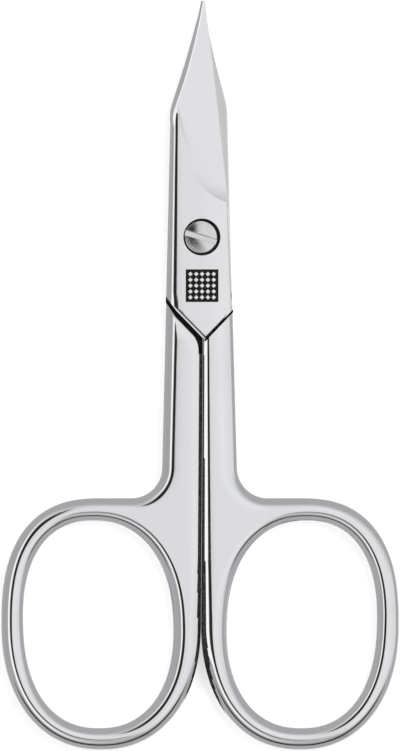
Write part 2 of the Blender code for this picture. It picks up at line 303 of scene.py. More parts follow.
@dataclass(frozen=True)
class Oval:
    """A full oval curve, squarer than an ellipse where its powers are above two.

    Attributes:
        centre: Its middle, with the edge and tail that its spots get.
        half_width: Half its width.
        half_length: Half its length.
        low_power: How square its lower half is.
        high_power: How square its upper half is.
    """

    centre: Spot
    half_width: float
    half_length: float
    low_power: float
    high_power: float

    def spots(self, start: float, end: float, steps: int) -> list[Spot]:
        """Spots along the oval.

        Args:
            start: Angle of the first spot.
            end: Angle of the last one.
            steps: How many stretches lie between them.

        Returns:
            The spots, from start to end.
        """
        spots = []
        for step in range(steps + 1):
            angle = start + (end - start) * step / steps
            aside, up = cos(angle), sin(angle)
            power = self.low_power if up < 0 else self.high_power
            size = (abs(aside) ** power + abs(up) ** power) ** (-1 / power)
            spots.append(replace(self.centre, x=self.centre.x + self.half_width * aside * size,
                                 y=self.centre.y + self.half_length * up * size))
        return spots


@dataclass(frozen=True)
class Plate:
    """A flat solid with rounded edges that ease on into its faces.

    Attributes:
        loops: The outline, anticlockwise, and then any holes, clockwise.
        low: Height of the lower face.
        high: Height of the upper face.
        round_low: Whether the lower edges are rounded.
        round_high: Whether the upper edges are rounded.
        most_rise_share: The most of the height that rounded edges may take.
    """

    loops: tuple[tuple[Spot, ...], ...]
    low: float
    high: float
    round_low: bool = True
    round_high: bool = True
    most_rise_share: float = 0.95

    def rows(self, spot: Spot) -> list[tuple[float, float]]:
        """Inset and height of each row of points up the side wall at a spot.

        Args:
            spot: Where the wall is.

        Returns:
            The rows, from the lower face to the upper one.
        """
        rounds = 2 if self.round_low and self.round_high else 1
        most = (self.high - self.low) / rounds * self.most_rise_share
        section = spot.form.section(spot.edge, spot.tail, most)
        lower, upper = [(0, self.low)], [(0, self.high)]
        if self.round_low:
            lower = [(inset, self.low + drop) for inset, drop in reversed(section)]
        if self.round_high:
            upper = [(inset, self.high - drop) for inset, drop in section]
        return lower + upper

    @staticmethod
    def inward(before: Spot, here: Spot, after: Spot) -> Vector:
        """The mitred direction into the material, which lies to the left of the outline.

        Args:
            before: The spot before.
            here: The spot itself.
            after: The spot after it.

        Returns:
            The way that a point moves for each metre of inset.
        """
        first = (here.place - before.place).normalized()
        second = (after.place - here.place).normalized()
        return Vector((-first.y - second.y, first.x + second.x)) / (1 + first.dot(second))

    def mesh(self, name: str) -> bpy.types.Mesh:
        """Builds the solid.

        Args:
            name: Name of the mesh.

        Returns:
            The closed mesh, faces outward.
        """
        build = bmesh.new()
        low_edges, high_edges = [], []
        for loop in self.loops:
            columns, insets = [], []
            for index, here in enumerate(loop):
                way = self.inward(loop[index - 1], here, loop[(index + 1) % len(loop)])
                rows = self.rows(here)
                insets.append([inset for inset, _ in rows])
                columns.append([build.verts.new((*(here.place + way * inset), height))
                                for inset, height in rows])
            for index, column in enumerate(columns):
                after = (index + 1) % len(columns)
                other = columns[after]
                # Faces in a spot's dull zone get the second finish, matt steel painted dark as shade.
                dull = min(loop[index].dull, loop[after].dull) * PAINTED_SHADE_SLACK
                for row in range(len(column) - 1):
                    face = build.faces.new((column[row], other[row], other[row + 1], column[row + 1]))
                    inset = max(insets[index][row:row + 2])
                    face.material_index = int(loop[index].dull > 0 and inset <= dull)
                low_edges.append(build.edges.get((column[0], other[0])))
                high_edges.append(build.edges.get((column[-1], other[-1])))
        bmesh.ops.triangle_fill(build, edges=low_edges, use_beauty=True, normal=(0, 0, -1))
        bmesh.ops.triangle_fill(build, edges=high_edges, use_beauty=True, normal=(0, 0, 1))
        return closed(build, name)


@dataclass(frozen=True)
class Turning:
    """A solid turned about Z.

    Attributes:
        profile: Radius and height of each point, from the axis at the bottom to the axis at the top.
        steps: How many flat stretches make the round.
    """

    profile: tuple[tuple[float, float], ...]
    steps: int = 128

    def mesh(self, name: str) -> bpy.types.Mesh:
        """Builds the solid.

        Args:
            name: Name of the mesh.

        Returns:
            The closed mesh, faces outward.
        """
        build = bmesh.new()
        verts = [build.verts.new((radius, 0, height)) for radius, height in self.profile]
        edges = [build.edges.new(pair) for pair in zip(verts, verts[1:])]
        bmesh.ops.spin(build, geom=verts + edges, axis=(0, 0, 1), angle=2 * pi, steps=self.steps,
                       use_merge=True)
        return closed(build, name)


def closed(build: bmesh.types.BMesh, name: str) -> bpy.types.Mesh:
    """Merges what lies in one place, turns the faces outward and makes a mesh.

    Args:
        build: The shape, which is freed.
        name: Name of the mesh.

    Returns:
        The mesh, shaded smooth.
    """
    bmesh.ops.remove_doubles(build, verts=build.verts, dist=SAME_PLACE)
    bmesh.ops.recalc_face_normals(build, faces=build.faces)
    data = bpy.data.meshes.new(name)
    build.to_mesh(data)
    build.free()
    data.shade_smooth()
    return data


def lofted(rings: list[list[Vector]], name: str) -> bpy.types.Mesh:
    """A solid through rings of points, with a flat face at each end.

    Args:
        rings: The rings, each with as many points as the others.
        name: Name of the mesh.

    Returns:
        The closed mesh, faces outward.
    """
    build = bmesh.new()
    rows = [[build.verts.new(point) for point in ring] for ring in rings]
    for first, second in zip(rows, rows[1:]):
        for index, vert in enumerate(first):
            after = (index + 1) % len(first)
            build.faces.new((vert, first[after], second[after], second[index]))
    build.faces.new(rows[0])
    build.faces.new(rows[-1])
    return closed(build, name)


def placed(mesh: bpy.types.Mesh, *finishes: bpy.types.Material) -> bpy.types.Object:
    """An object for a mesh, with its finishes.

    Args:
        mesh: The mesh.
        finishes: Its materials, the second one for what is left dull and painted dark as shade.

    Returns:
        The object, linked to the scene.
    """
    for finish in finishes:
        mesh.materials.append(finish)
    shown = bpy.data.objects.new(mesh.name, mesh)
    bpy.context.collection.objects.link(shown)
    return shown


def combined(owner: bpy.types.Object, shape: bpy.types.Object, cut: Cut) -> None:
    """Lets a shape change its owner; the faces that it makes get the shape's finish.

    Args:
        owner: What is changed.
        shape: What changes it.
        cut: Whether the shape is joined on, taken away or kept alone.
    """
    change = owner.modifiers.new(shape.name, "BOOLEAN")
    change.operation = cut.value
    change.object = shape
    change.material_mode = "TRANSFER"


def evaluated(shown: bpy.types.Object) -> bpy.types.Mesh:
    """A plain mesh of an object with its modifiers."""
    bpy.context.view_layer.update()
    return bpy.data.meshes.new_from_object(shown.evaluated_get(bpy.context.evaluated_depsgraph_get()))


def settled(rough: bpy.types.Object, helpers: list[bpy.types.Object], name: str,
            place: Matrix) -> bpy.types.Object:
    """Turns a shape and its modifiers into one plain piece at the origin.

    Args:
        rough: The shape with its modifiers.
        helpers: Shapes that have done their work.
        name: Name of the piece.
        place: Where the shape's own frame lies in the scene.

    Returns:
        The finished piece.
    """
    mesh = evaluated(rough)
    mesh.transform(place)
    build = bmesh.new()
    build.from_mesh(mesh)
    bmesh.ops.dissolve_degenerate(build, edges=build.edges, dist=SAME_PLACE)
    bmesh.ops.recalc_face_normals(build, faces=build.faces)
    build.to_mesh(mesh)
    build.free()
    for done in [rough, *helpers]:
        bpy.data.objects.remove(done)
    mesh.name = name
    mesh.shade_smooth()
    mesh.set_sharp_from_angle(angle=SHARP)
    build = bmesh.new()
    build.from_mesh(mesh)
    for edge in build.edges:
        if len({face.material_index for face in edge.link_faces}) > 1:
            edge.smooth = False
    build.to_mesh(mesh)
    build.free()
    piece = placed(mesh)
    piece.modifiers.new("weighted_normals", "WEIGHTED_NORMAL").keep_sharp = True
    weighed = evaluated(piece)
    piece.modifiers.clear()
    piece.data = weighed
    weighed.name = name
    return piece


def handed_over(piece: bpy.types.Object, side: Side, node: str | None = None) -> bpy.types.Object:
    """Hides the CAD node that a finished piece stands for, if any, and puts the piece on its body.

    Args:
        piece: The piece.
        side: Whose body it rides on.
        node: The CAD node that it stands for, if it does.

    Returns:
        The piece.
    """
    if node:
        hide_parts(node)
    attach(piece, side.value)
    return piece


class NodeSheet:
    """A node tree that is written from left to right."""

    def __init__(self, tree: bpy.types.NodeTree) -> None:
        """Starts with an empty tree."""
        self.tree = tree
        tree.nodes.clear()

    def add(self, kind: str, settings: dict | None = None, **inputs: object) -> bpy.types.Node:
        """Adds a node.

        Args:
            kind: Blender's name of the node's type.
            settings: Its properties.
            inputs: Its inputs by name, with blanks as underscores, each a value or another node's output.

        Returns:
            The node.
        """
        node = self.tree.nodes.new(kind)
        for key, value in (settings or {}).items():
            setattr(node, key, value)
        for key, value in inputs.items():
            wanted = key.replace("_", " ").lower()
            socket = next(s for s in node.inputs if s.name.lower() == wanted and s.enabled)
            self.feed(socket, value)
        return node

    def feed(self, socket: bpy.types.NodeSocket, value: object) -> None:
        """Links an output to a socket, or sets its value.

        Args:
            socket: The input socket.
            value: The output or the value.
        """
        if isinstance(value, bpy.types.NodeSocket):
            self.tree.links.new(value, socket)
        else:
            socket.default_value = value

    def worked_out(self, kind: str, operation: str,
                   values: tuple[object, ...]) -> bpy.types.bpy_prop_collection:
        """Adds a node that works something out.

        Args:
            kind: Blender's name of the node's type.
            operation: What it works out.
            values: Values or outputs for its first sockets.

        Returns:
            Its outputs.
        """
        node = self.add(kind, {"operation": operation})
        for socket, value in zip(node.inputs, values):
            self.feed(socket, value)
        return node.outputs

    def maths(self, operation: str, *values: object) -> bpy.types.NodeSocket:
        """What a Math node makes of numbers or outputs."""
        return self.worked_out("ShaderNodeMath", operation, values)[0]

    def vector(self, operation: str, *values: object) -> bpy.types.NodeSocket:
        """What a Vector Math node makes of vectors or outputs."""
        return self.worked_out("ShaderNodeVectorMath", operation, values)[0]

    def scaled(self, colour: object, amount: bpy.types.NodeSocket) -> bpy.types.NodeSocket:
        """A colour times an amount.

        Args:
            colour: The colour or an output.
            amount: The amount.

        Returns:
            The scaled colour.
        """
        node = self.add("ShaderNodeVectorMath", {"operation": "SCALE"}, Scale=amount)
        self.feed(node.inputs[0], colour)
        return node.outputs[0]

    def spread(self, value: object, low: float, high: float, to_low: float,
               to_high: float) -> bpy.types.NodeSocket:
        """Maps one range to another and stays within it.

        Args:
            value: What is mapped.
            low: Start of its range.
            high: End of its range.
            to_low: What the start becomes.
            to_high: What the end becomes.

        Returns:
            The mapped value.
        """
        return self.add("ShaderNodeMapRange", Value=value, From_Min=low, From_Max=high, To_Min=to_low,
                        To_Max=to_high).outputs[0]

    def ramp(self, value: object, *stops: tuple[float, float]) -> bpy.types.NodeSocket:
        """A grey ramp that eases from stop to stop.

        Args:
            value: Where to read the ramp, from zero to one.
            stops: Place and grey of each stop.

        Returns:
            Its colour.
        """
        node = self.add("ShaderNodeValToRGB", Fac=value)
        node.color_ramp.interpolation = "EASE"
        while len(node.color_ramp.elements) < len(stops):
            node.color_ramp.elements.new(1)
        for element, (place, grey) in zip(node.color_ramp.elements, stops):
            element.position = place
            element.color = (grey, grey, grey, 1)
        return node.outputs["Color"]

    def noise(self, place: bpy.types.NodeSocket, scale: float, detail: float,
              **more: float) -> bpy.types.NodeSocket:
        """What a Noise Texture node gives at a place."""
        return self.add("ShaderNodeTexNoise", Vector=place, Scale=scale, Detail=detail, **more).outputs["Fac"]

    def bump(self, strength: float, depth: float, height: bpy.types.NodeSocket) -> bpy.types.NodeSocket:
        """The normal of a fine relief of a height."""
        return self.add("ShaderNodeBump", Strength=strength, Distance=depth, Height=height).outputs[0]


@dataclass(frozen=True)
class Finish:
    """A material with patterns.

    Attributes:
        name: Name of the material.
    """

    name: str

    def material(self) -> bpy.types.Material:
        """Makes the material.

        Returns:
            The material, whose patterns sit on Object coordinates.
        """
        made = bpy.data.materials.new(self.name)
        made.use_nodes = True
        sheet = NodeSheet(made.node_tree)
        place = sheet.add("ShaderNodeTexCoord").outputs["Object"]
        shader = sheet.add("ShaderNodeBsdfPrincipled", **self.surface(sheet, place))
        sheet.add("ShaderNodeOutputMaterial", Surface=shader.outputs[0])
        return made

    def surface(self, sheet: NodeSheet, place: bpy.types.NodeSocket) -> dict[str, object]:
        """Writes the patterns.

        Args:
            sheet: Where they are written.
            place: The coordinates that they sit on.

        Returns:
            The shader's inputs by name.
        """
        raise NotImplementedError


@dataclass(frozen=True)
class PolishedSteel(Finish):
    """Stainless steel, polished by hand, with faint smudges, hairlines and pits.

    Attributes:
        colour: What the steel reflects.
        smooth: Roughness of the clean places.
        dull: Roughness of the dullest places.
        worn: Where in the pattern the clean places end and the dullest ones begin.
        hairline: Height of the hairlines.
        hairline_turn: Direction of the hairlines, from the scissors' length.
        hairline_scale: How fine they are across, along and in depth, per metre.
        hairline_wear: How much they add to the dull places.
        smudge_scale: How fine the smudges are, per metre.
        smudge: Where a smudge begins and where it is full.
        smudge_tint: How dark a smudge is.
        pit_scale: How fine the pits are, per metre.
        pit_share: How deep they are, as a share of the hairlines' height.
        layers: How many finer layers the hairlines, the smudges and the pits have.
        layer_share: How strong the finer layers of hairlines and smudges are.
    """

    name: str = "polished_steel"
    colour: tuple[float, float, float] = (0.759, 0.764, 0.781)
    smooth: float = 0.05
    dull: float = 0.1
    worn: tuple[float, float] = (0.45, 0.95)
    hairline: float = 0.0009 * MM
    hairline_turn: float = radians(4)
    hairline_scale: tuple[float, float, float] = (9000, 420, 9000)
    hairline_wear: float = 0.35
    smudge_scale: float = 160.0
    smudge: tuple[float, float] = (0.3, 0.7)
    smudge_tint: float = 0.97
    pit_scale: float = 5200.0
    pit_share: float = 0.8
    layers: tuple[float, float, float] = (3.0, 4.0, 2.0)
    layer_share: tuple[float, float] = (0.6, 0.55)

    def surface(self, sheet: NodeSheet, place: bpy.types.NodeSocket) -> dict[str, object]:
        """Writes the smudges, hairlines and pits.

        Args:
            sheet: Where they are written.
            place: The coordinates that they sit on.

        Returns:
            The shader's inputs by name.
        """
        along = sheet.add("ShaderNodeMapping", Vector=place, Rotation=(0, 0, self.hairline_turn),
                          Scale=self.hairline_scale).outputs[0]
        lines = sheet.noise(along, 1.0, self.layers[0], Roughness=self.layer_share[0])
        smudges = sheet.noise(place, self.smudge_scale, self.layers[1], Roughness=self.layer_share[1])
        pits = sheet.noise(place, self.pit_scale, self.layers[2])
        wear = sheet.maths("MULTIPLY_ADD", lines, self.hairline_wear, smudges)
        tint = sheet.spread(smudges, *self.smudge, self.smudge_tint, 1.0)
        relief = sheet.bump(1.0, self.hairline, sheet.maths("MULTIPLY_ADD", pits, self.pit_share, lines))
        return {"Metallic": 1.0, "Roughness": sheet.spread(wear, *self.worn, self.smooth, self.dull),
                "Base_Color": sheet.scaled(self.colour, tint), "Normal": relief}


@dataclass(frozen=True)
class TurnedSteel(Finish):
    """Steel that was faced on a lathe, with fine rings about an axis.

    Attributes:
        centre: Where the rings have their middle.
        colour: What the steel reflects.
        pitch: Distance between two rings.
        depth: Depth of a ring.
        smooth: Roughness of the clean places.
        dull: Roughness of the dullest places.
        worn: Where in the pattern the clean places end and the dullest ones begin.
        wobble: How far the rings wander, as an angle of their wave.
        wobble_scale: How fine their wandering is, per metre.
        uneven_scale: How fine the difference from ring to ring is, per metre.
        uneven_share: How much of a ring's depth it is.
        stain: Where a stain is full and where it ends.
        stain_tint: How dark a stain is.
        layers: How many finer layers its patterns have.
    """

    centre: tuple[float, float, float]
    colour: tuple[float, float, float] = (0.7, 0.705, 0.71)
    pitch: float = 0.16 * MM
    depth: float = 0.0022 * MM
    smooth: float = 0.11
    dull: float = 0.2
    worn: tuple[float, float] = (0.7, 1.3)
    wobble: float = 5.0
    wobble_scale: float = 900.0
    uneven_scale: float = 9000.0
    uneven_share: float = 1.4
    stain: tuple[float, float] = (0.3, 0.75)
    stain_tint: float = 0.88
    layers: float = 3.0

    def surface(self, sheet: NodeSheet, place: bpy.types.NodeSocket) -> dict[str, object]:
        """Writes the rings and stains.

        Args:
            sheet: Where they are written.
            place: The coordinates that they sit on.

        Returns:
            The shader's inputs by name.
        """
        flat = sheet.vector("MULTIPLY", sheet.vector("SUBTRACT", place, self.centre), (1, 1, 0))
        radius = sheet.worked_out("ShaderNodeVectorMath", "LENGTH", (flat,))["Value"]
        wobble = sheet.noise(place, self.wobble_scale, self.layers)
        turns = sheet.maths("MULTIPLY_ADD", radius, 2 * pi / self.pitch, sheet.maths(
            "MULTIPLY", wobble, self.wobble))
        rings = sheet.maths("MULTIPLY_ADD", sheet.maths("SINE", turns), 0.5, 0.5)
        uneven = sheet.add("ShaderNodeTexNoise", {"noise_dimensions": "1D"}, W=sheet.maths(
            "MULTIPLY", radius, self.uneven_scale), Scale=1.0, Detail=self.layers).outputs["Fac"]
        wear = sheet.maths("ADD", uneven, wobble)
        tint = sheet.spread(wobble, *self.stain, self.stain_tint, 1.0)
        relief = sheet.bump(1.0, self.depth, sheet.maths("MULTIPLY_ADD", uneven, self.uneven_share, rings))
        return {"Metallic": 1.0, "Roughness": sheet.spread(wear, *self.worn, self.smooth, self.dull),
                "Base_Color": sheet.scaled(self.colour, tint), "Normal": relief}


@dataclass(frozen=True)
class MattSteel(Finish):
    """Dark, matt steel with a fine mottle, used for the black etching and for unpolished steel painted near
    black as shade.

    Attributes:
        dark: Its darkest grey.
        light: Its lightest grey.
        band: Where in the mottle the darkest grey ends and the lightest one begins.
        scale: How fine the mottle is, per metre.
        detail: How strong the mottle's finer layers are.
        relief: Strength of the relief.
        depth: Its depth.
        dull: Roughness of the dullest places.
        metal: How much of it shines like bare metal.
        shine: How strongly the rest shines.
        smooth: Roughness of the smoothest places.
        patches: Where in the mottle these end and the dullest ones begin.
        layers: How many finer layers the mottle has.
    """

    dark: float
    light: float
    band: tuple[float, float]
    scale: float
    detail: float
    relief: float
    depth: float
    dull: float
    metal: float
    shine: float
    smooth: float = 0.5
    patches: tuple[float, float] = (0.3, 0.7)
    layers: float = 4.0

    def surface(self, sheet: NodeSheet, place: bpy.types.NodeSocket) -> dict[str, object]:
        """Writes the mottle.

        Args:
            sheet: Where it is written.
            place: The coordinates that it sits on.

        Returns:
            The shader's inputs by name.
        """
        mottle = sheet.noise(place, self.scale, self.layers, Roughness=self.detail)
        shade = sheet.ramp(mottle, (self.band[0], self.dark), (self.band[1], self.light))
        return {"Metallic": self.metal, "Roughness": sheet.spread(
            mottle, *self.patches, self.smooth, self.dull),
                "Base_Color": shade, "Specular_IOR_Level": self.shine,
                "Normal": sheet.bump(self.relief, self.depth, mottle)}


@dataclass(frozen=True)
class Finishes:
    """The finishes of one forging.

    Attributes:
        polished: The forging itself.
        ground: The blade's ground face.
        inner: The blade's inner face, ground and rougher, its colour darkened as painted shade beside the other
            blade.
        dull: What no wheel reaches: matt steel, painted near black as shade in seams, grooves and recesses.
    """

    polished: bpy.types.Material
    ground: bpy.types.Material
    inner: bpy.types.Material
    dull: bpy.types.Material


@dataclass(frozen=True)
class Handle:
    """The finger ring and the shank of one half, in one.

    Attributes:
        reach: From the pivot to the ring's far end.
        ring_width: Width of the ring's outside.
        ring_length: Length of the ring's outside.
        rim: Width of the ring's band at its outer side and far end.
        seam_rim: Width of the band beside the other ring.
        top_rim: Width of the band under the shank.
        loop_lean: How far the loop's top leans outwards.
        loop_bow: How far its middle bows the other way.
        thick: Thickness of the whole handle.
        shank_top: Half width of both shanks at the shoulder.
        shank_low: Half width of both shanks at the ring.
        fillet: Radius between the shank and the ring.
        gap: Distance between the two shanks.
        seam_top: How far the seam stands to the right of the middle line at the joint.
        seam_low: How far it stands to the right between the rings.
        seam_top_down: How far below the pivot the first of these is measured.
        ring_edge: Reach of the ring's outer rounded edges.
        loop_edge: Reach of the loop's rounded edges.
        loop_seam_edge: Reach of the same beside the other ring.
        seam_painted_shade: How far in from the seam the steel is dull and painted dark as shade at the joint.
        seam_painted_shade_low: The same at the rings.
        ring_painted_shade: The same where the rings part.
        ring_painted_shade_side: How far sideways from the seam the ring's painted shade zone reaches.
        ring_form_side: How far sideways from the seam the ring's edge still takes after the seam's.
        ring_tail: How far both ease on into the ring's face.
        side_edge: Reach of the shank's outer rounded edge.
        seam_edge: Reach of the shank's inner rounded edge at the joint.
        seam_edge_low: The same at the rings.
        side_tail: How far the shank's face eases up behind its outer edge.
        seam_tail: How far it eases up behind its inner edge.
        room_share: How much of a shank's narrowest face the two may take.
        seam_form: Section of the shank's inner edge.
        ring_powers: How square the lower and the upper half of the ring's outside are.
        loop_powers: The same of the loop.
        ring_steps: How many stretches make the ring's outside.
        loop_steps: How many make the loop.
        side_steps: How many make each side of the shank.
        foot_steps: How many lie between the seam's low end and the ring.
        lead_shares: Places of the spots between the ring and the fillet, as shares of the way to its corner.
        seam_end_share: How far above the ring's middle the seam's low end is, as a share of its length.
    """

    shank_top: float
    shank_low: float
    seam_top: float
    seam_low: float
    seam_top_down: float = 12.5 * MM
    reach: float = 61.6 * MM
    ring_width: float = 23.9 * MM
    ring_length: float = 30.34 * MM
    rim: float = 2.73 * MM
    seam_rim: float = 3.25 * MM
    top_rim: float = 2.81 * MM
    loop_lean: float = 0.33 * MM
    loop_bow: float = 0.24 * MM
    thick: float = 3.0 * MM
    fillet: float = 3.6 * MM
    gap: float = 0.03 * MM
    ring_edge: float = 1.37 * MM
    loop_edge: float = 1.19 * MM
    loop_seam_edge: float = 1.5 * MM
    seam_painted_shade: float = 0.45 * MM
    seam_painted_shade_low: float = 0.48 * MM
    ring_painted_shade: float = 0.48 * MM
    ring_painted_shade_side: float = 2.2 * MM
    ring_form_side: float = 0.5 * MM
    seam_form: EdgeForm = PLAIN_EDGE
    ring_tail: float = 0.03 * MM
    side_edge: float = 1.52 * MM
    seam_edge: float = 0.8 * MM
    seam_edge_low: float = 0.8 * MM
    side_tail: float = 1.1 * MM
    seam_tail: float = 0.8 * MM
    room_share: float = 0.9
    ring_powers: tuple[float, float] = (2.2, 2.5)
    loop_powers: tuple[float, float] = (2.3, 2.3)
    ring_steps: int = 220
    loop_steps: int = 200
    side_steps: int = 8
    foot_steps: int = 10
    lead_shares: tuple[float, ...] = (0.1, 0.2, 0.3, 0.4)
    seam_end_share: float = 0.25

    def outline(self, top: float) -> tuple[Spot, ...]:
        """The outside of ring and shank, the ring to the right, anticlockwise from the top of the seam.

        Args:
            top: Height along the scissors where the shank stops.

        Returns:
            The spots.
        """
        half_width = (self.ring_width - self.seam_low) / 2
        centre = Spot(self.gap / 2 + self.seam_low + half_width, self.ring_length / 2 - self.reach,
                      self.ring_edge, self.ring_tail)
        oval = Oval(centre, half_width, self.ring_length / 2, *self.ring_powers)
        ring = oval.spots(pi, pi * 5 / 2, self.ring_steps)
        offsets = [spot.x - self.gap / 2 - self.seam_low for spot in ring]
        # Near the seam the ring's edge is dull and painted dark as shade where the rings part.
        ring = [replace(spot, dull=self.ring_painted_shade * max(0.0, 1 - offset / self.ring_painted_shade_side),
                        form=PLAIN_EDGE.mixed(self.seam_form, max(0.0, 1 - offset / self.ring_form_side)))
                for spot, offset in zip(ring, offsets)]
        slope = (self.seam_top - self.seam_low) / (centre.y + self.seam_top_down)
        seam_top = self.gap / 2 + self.seam_low + slope * (centre.y - top)
        room = self.shank_top - seam_top - self.side_edge - self.seam_edge
        fitted = min(1.0, room / (self.side_tail + self.seam_tail) * self.room_share)
        corner = Spot(self.shank_low, ring[-1].y, self.side_edge, self.side_tail)
        shank_top = Spot(self.shank_top, top, self.side_edge, self.side_tail * fitted)
        side = bowed(corner, shank_top, 0, self.side_steps)
        arc = filleted(ring[-1], corner, shank_top, self.fillet)
        lead = [replace(ring[-1].mixed(corner, share), y=ring[-1].y)
                for share in self.lead_shares if ring[-1].mixed(corner, share).x > arc[0].x + self.gap]
        side = [spot for spot in side if spot.y > arc[-1].y + self.gap]
        low_y = centre.y + self.ring_length * self.seam_end_share
        # The seam's spots carry its dull zone, which is painted dark as shade.
        low = Spot(self.gap / 2 + self.seam_low + slope * (centre.y - low_y), low_y, self.seam_edge_low,
                   self.seam_tail, self.seam_painted_shade_low, self.seam_form)
        high = Spot(seam_top, top, self.seam_edge, self.seam_tail * fitted, self.seam_painted_shade, self.seam_form)
        return (high, *bowed(high, low, 0, self.side_steps), low,
                *bowed(low, ring[0], 0, self.foot_steps), *ring, *lead, *arc, *side, shank_top)

    def loop(self) -> tuple[Spot, ...]:
        """The finger's loop, clockwise.

        Returns:
            The spots.
        """
        width = self.ring_width - self.rim - self.seam_rim
        length = self.ring_length - self.rim - self.top_rim
        side = self.gap / 2 + self.ring_width - self.rim - width / 2
        centre = Spot(side, self.rim + length / 2 - self.reach, self.loop_edge, self.ring_tail,
                      form=LOOP_EDGE)
        spots = []
        oval = Oval(centre, width / 2, length / 2, *self.loop_powers)
        for spot in oval.spots(2 * pi, 0, self.loop_steps)[:-1]:
            share = (spot.y - centre.y) / (length / 2)
            near = max(0.0, (centre.x - spot.x) / (width / 2)) ** 2
            spots.append(replace(spot, x=spot.x + self.loop_lean * share + self.loop_bow * share ** 2,
                                 edge=self.loop_edge + (self.loop_seam_edge - self.loop_edge) * near))
        return tuple(spots)

    def plate(self, top: float) -> Plate:
        """The handle as one plate that stops at a height along the scissors."""
        return Plate((self.outline(top), self.loop()), 0, self.thick)


@dataclass(frozen=True)
class Shoulder:
    """The bent line along which the shank of one half makes room for the joint box of the other.

    Attributes:
        side: Where the line begins, from the middle line.
        down: How far below the pivot it begins.
        bend_side: Where it bends.
        bend_down: How far below the pivot it bends.
        seam_down: How far below the pivot it meets the middle line.
        gap: Width of the gap that it marks.
        notch_width: Width of the notch beside the seam, under the other half's box.
        notch_down: How far below the pivot the notch ends.
        notch_radius: Radius of the notch's round side.
        box_radius: Radius of the box's corner where the line bends.
        shank_edge: Reach of the shank's rounded edge along the line.
    """

    side: float = 4.1 * MM
    down: float = 7.45 * MM
    bend_side: float = 2.9 * MM
    bend_down: float = 9.22 * MM
    seam_down: float = 12.2 * MM
    gap: float = 0.78 * MM
    notch_width: float = 0.53 * MM
    notch_down: float = 14.0 * MM
    notch_radius: float = 3.0 * MM
    box_radius: float = 1.0 * MM
    shank_edge: float = 1.1 * MM

    def line(self, shift: float) -> tuple[Spot, Spot, Spot]:
        """The line from the outside in, moved along the scissors.

        Args:
            shift: How far it is moved.

        Returns:
            Its three spots.
        """
        return (Spot(self.side, shift - self.down), Spot(self.bend_side, shift - self.bend_down),
                Spot(0, shift - self.seam_down))


@dataclass(frozen=True)
class JointBox:
    """The joint box of one half, on the upper half of the thickness.

    Attributes:
        side: Where its own middle line stands.
        gap: Distance between the two boxes.
        drop: How far its face lies below the shank's.
        low_half: Half its width at the shoulder.
        high_half: Half its width at the blade.
        low_edge: Reach of its rounded side at the shoulder.
        high_edge: Reach of its rounded side at the blade.
        shoulder_edge: Reach of the rounded edge along the other shank.
        tail: How far its face eases up behind the rounded side.
        small_tail: The same behind its smaller edges.
        crown_tail: The same at its other side.
        step_side: Outer end of the step up to the shank's face.
        step_down: How far below the pivot that end lies.
        step_seam_down: How far below the pivot the step meets the middle line.
        step_edge: Reach of the step's soft foot.
        step_painted_shade: How far from its wall the foot is left dull and painted dark as shade.
        relief: Depth of the unpolished relief under the box, which is painted near black as shade.
        buried: How far the box reaches into its own shank.
        edge_break: How far a crisp edge is broken.
        crown_edge: Reach of the rounded edge at its other side.
        seam_inset: How far from the seam its lowest point stands.
        run: How far its side runs on, past the shoulder, before that is cut; 1 ends at the shoulder.
        wall_painted_shade: How much of the edge along the shoulder is dull and painted dark as shade.
        parting_width: Width of the groove along the step.
        parting_rise: Depth of the groove at the seam.
        parting_low: Height of the groove's floor at the rounded side.
    """

    side: float
    gap: float = 0.1 * MM
    drop: float = 0.25 * MM
    low_half: float = 4.0 * MM
    high_half: float = 3.43 * MM
    low_edge: float = 1.5 * MM
    high_edge: float = 0.95 * MM
    shoulder_edge: float = 0.55 * MM
    tail: float = 1.1 * MM
    small_tail: float = 0.04 * MM
    crown_tail: float = 3.2 * MM
    step_side: float = 3.83 * MM
    step_down: float = 8.82 * MM
    step_seam_down: float = 12.85 * MM
    step_edge: float = 0.75 * MM
    step_painted_shade: float = 0.2 * MM
    relief: float = 0.05 * MM
    buried: float = 1.7 * MM
    edge_break: float = 0.2 * MM
    crown_edge: float = 0.45 * MM
    seam_inset: float = 0.1 * MM
    run: float = 1.4
    wall_painted_shade: float = 0.02 * MM
    parting_width: float = 0.24 * MM
    parting_rise: float = 0.06 * MM
    parting_low: float = 1.8 * MM

    def step(self) -> tuple[Spot, Spot]:
        """The line of the step up to the shank's face, from the outside in."""
        return Spot(self.step_side, -self.step_down), Spot(0, -self.step_seam_down)


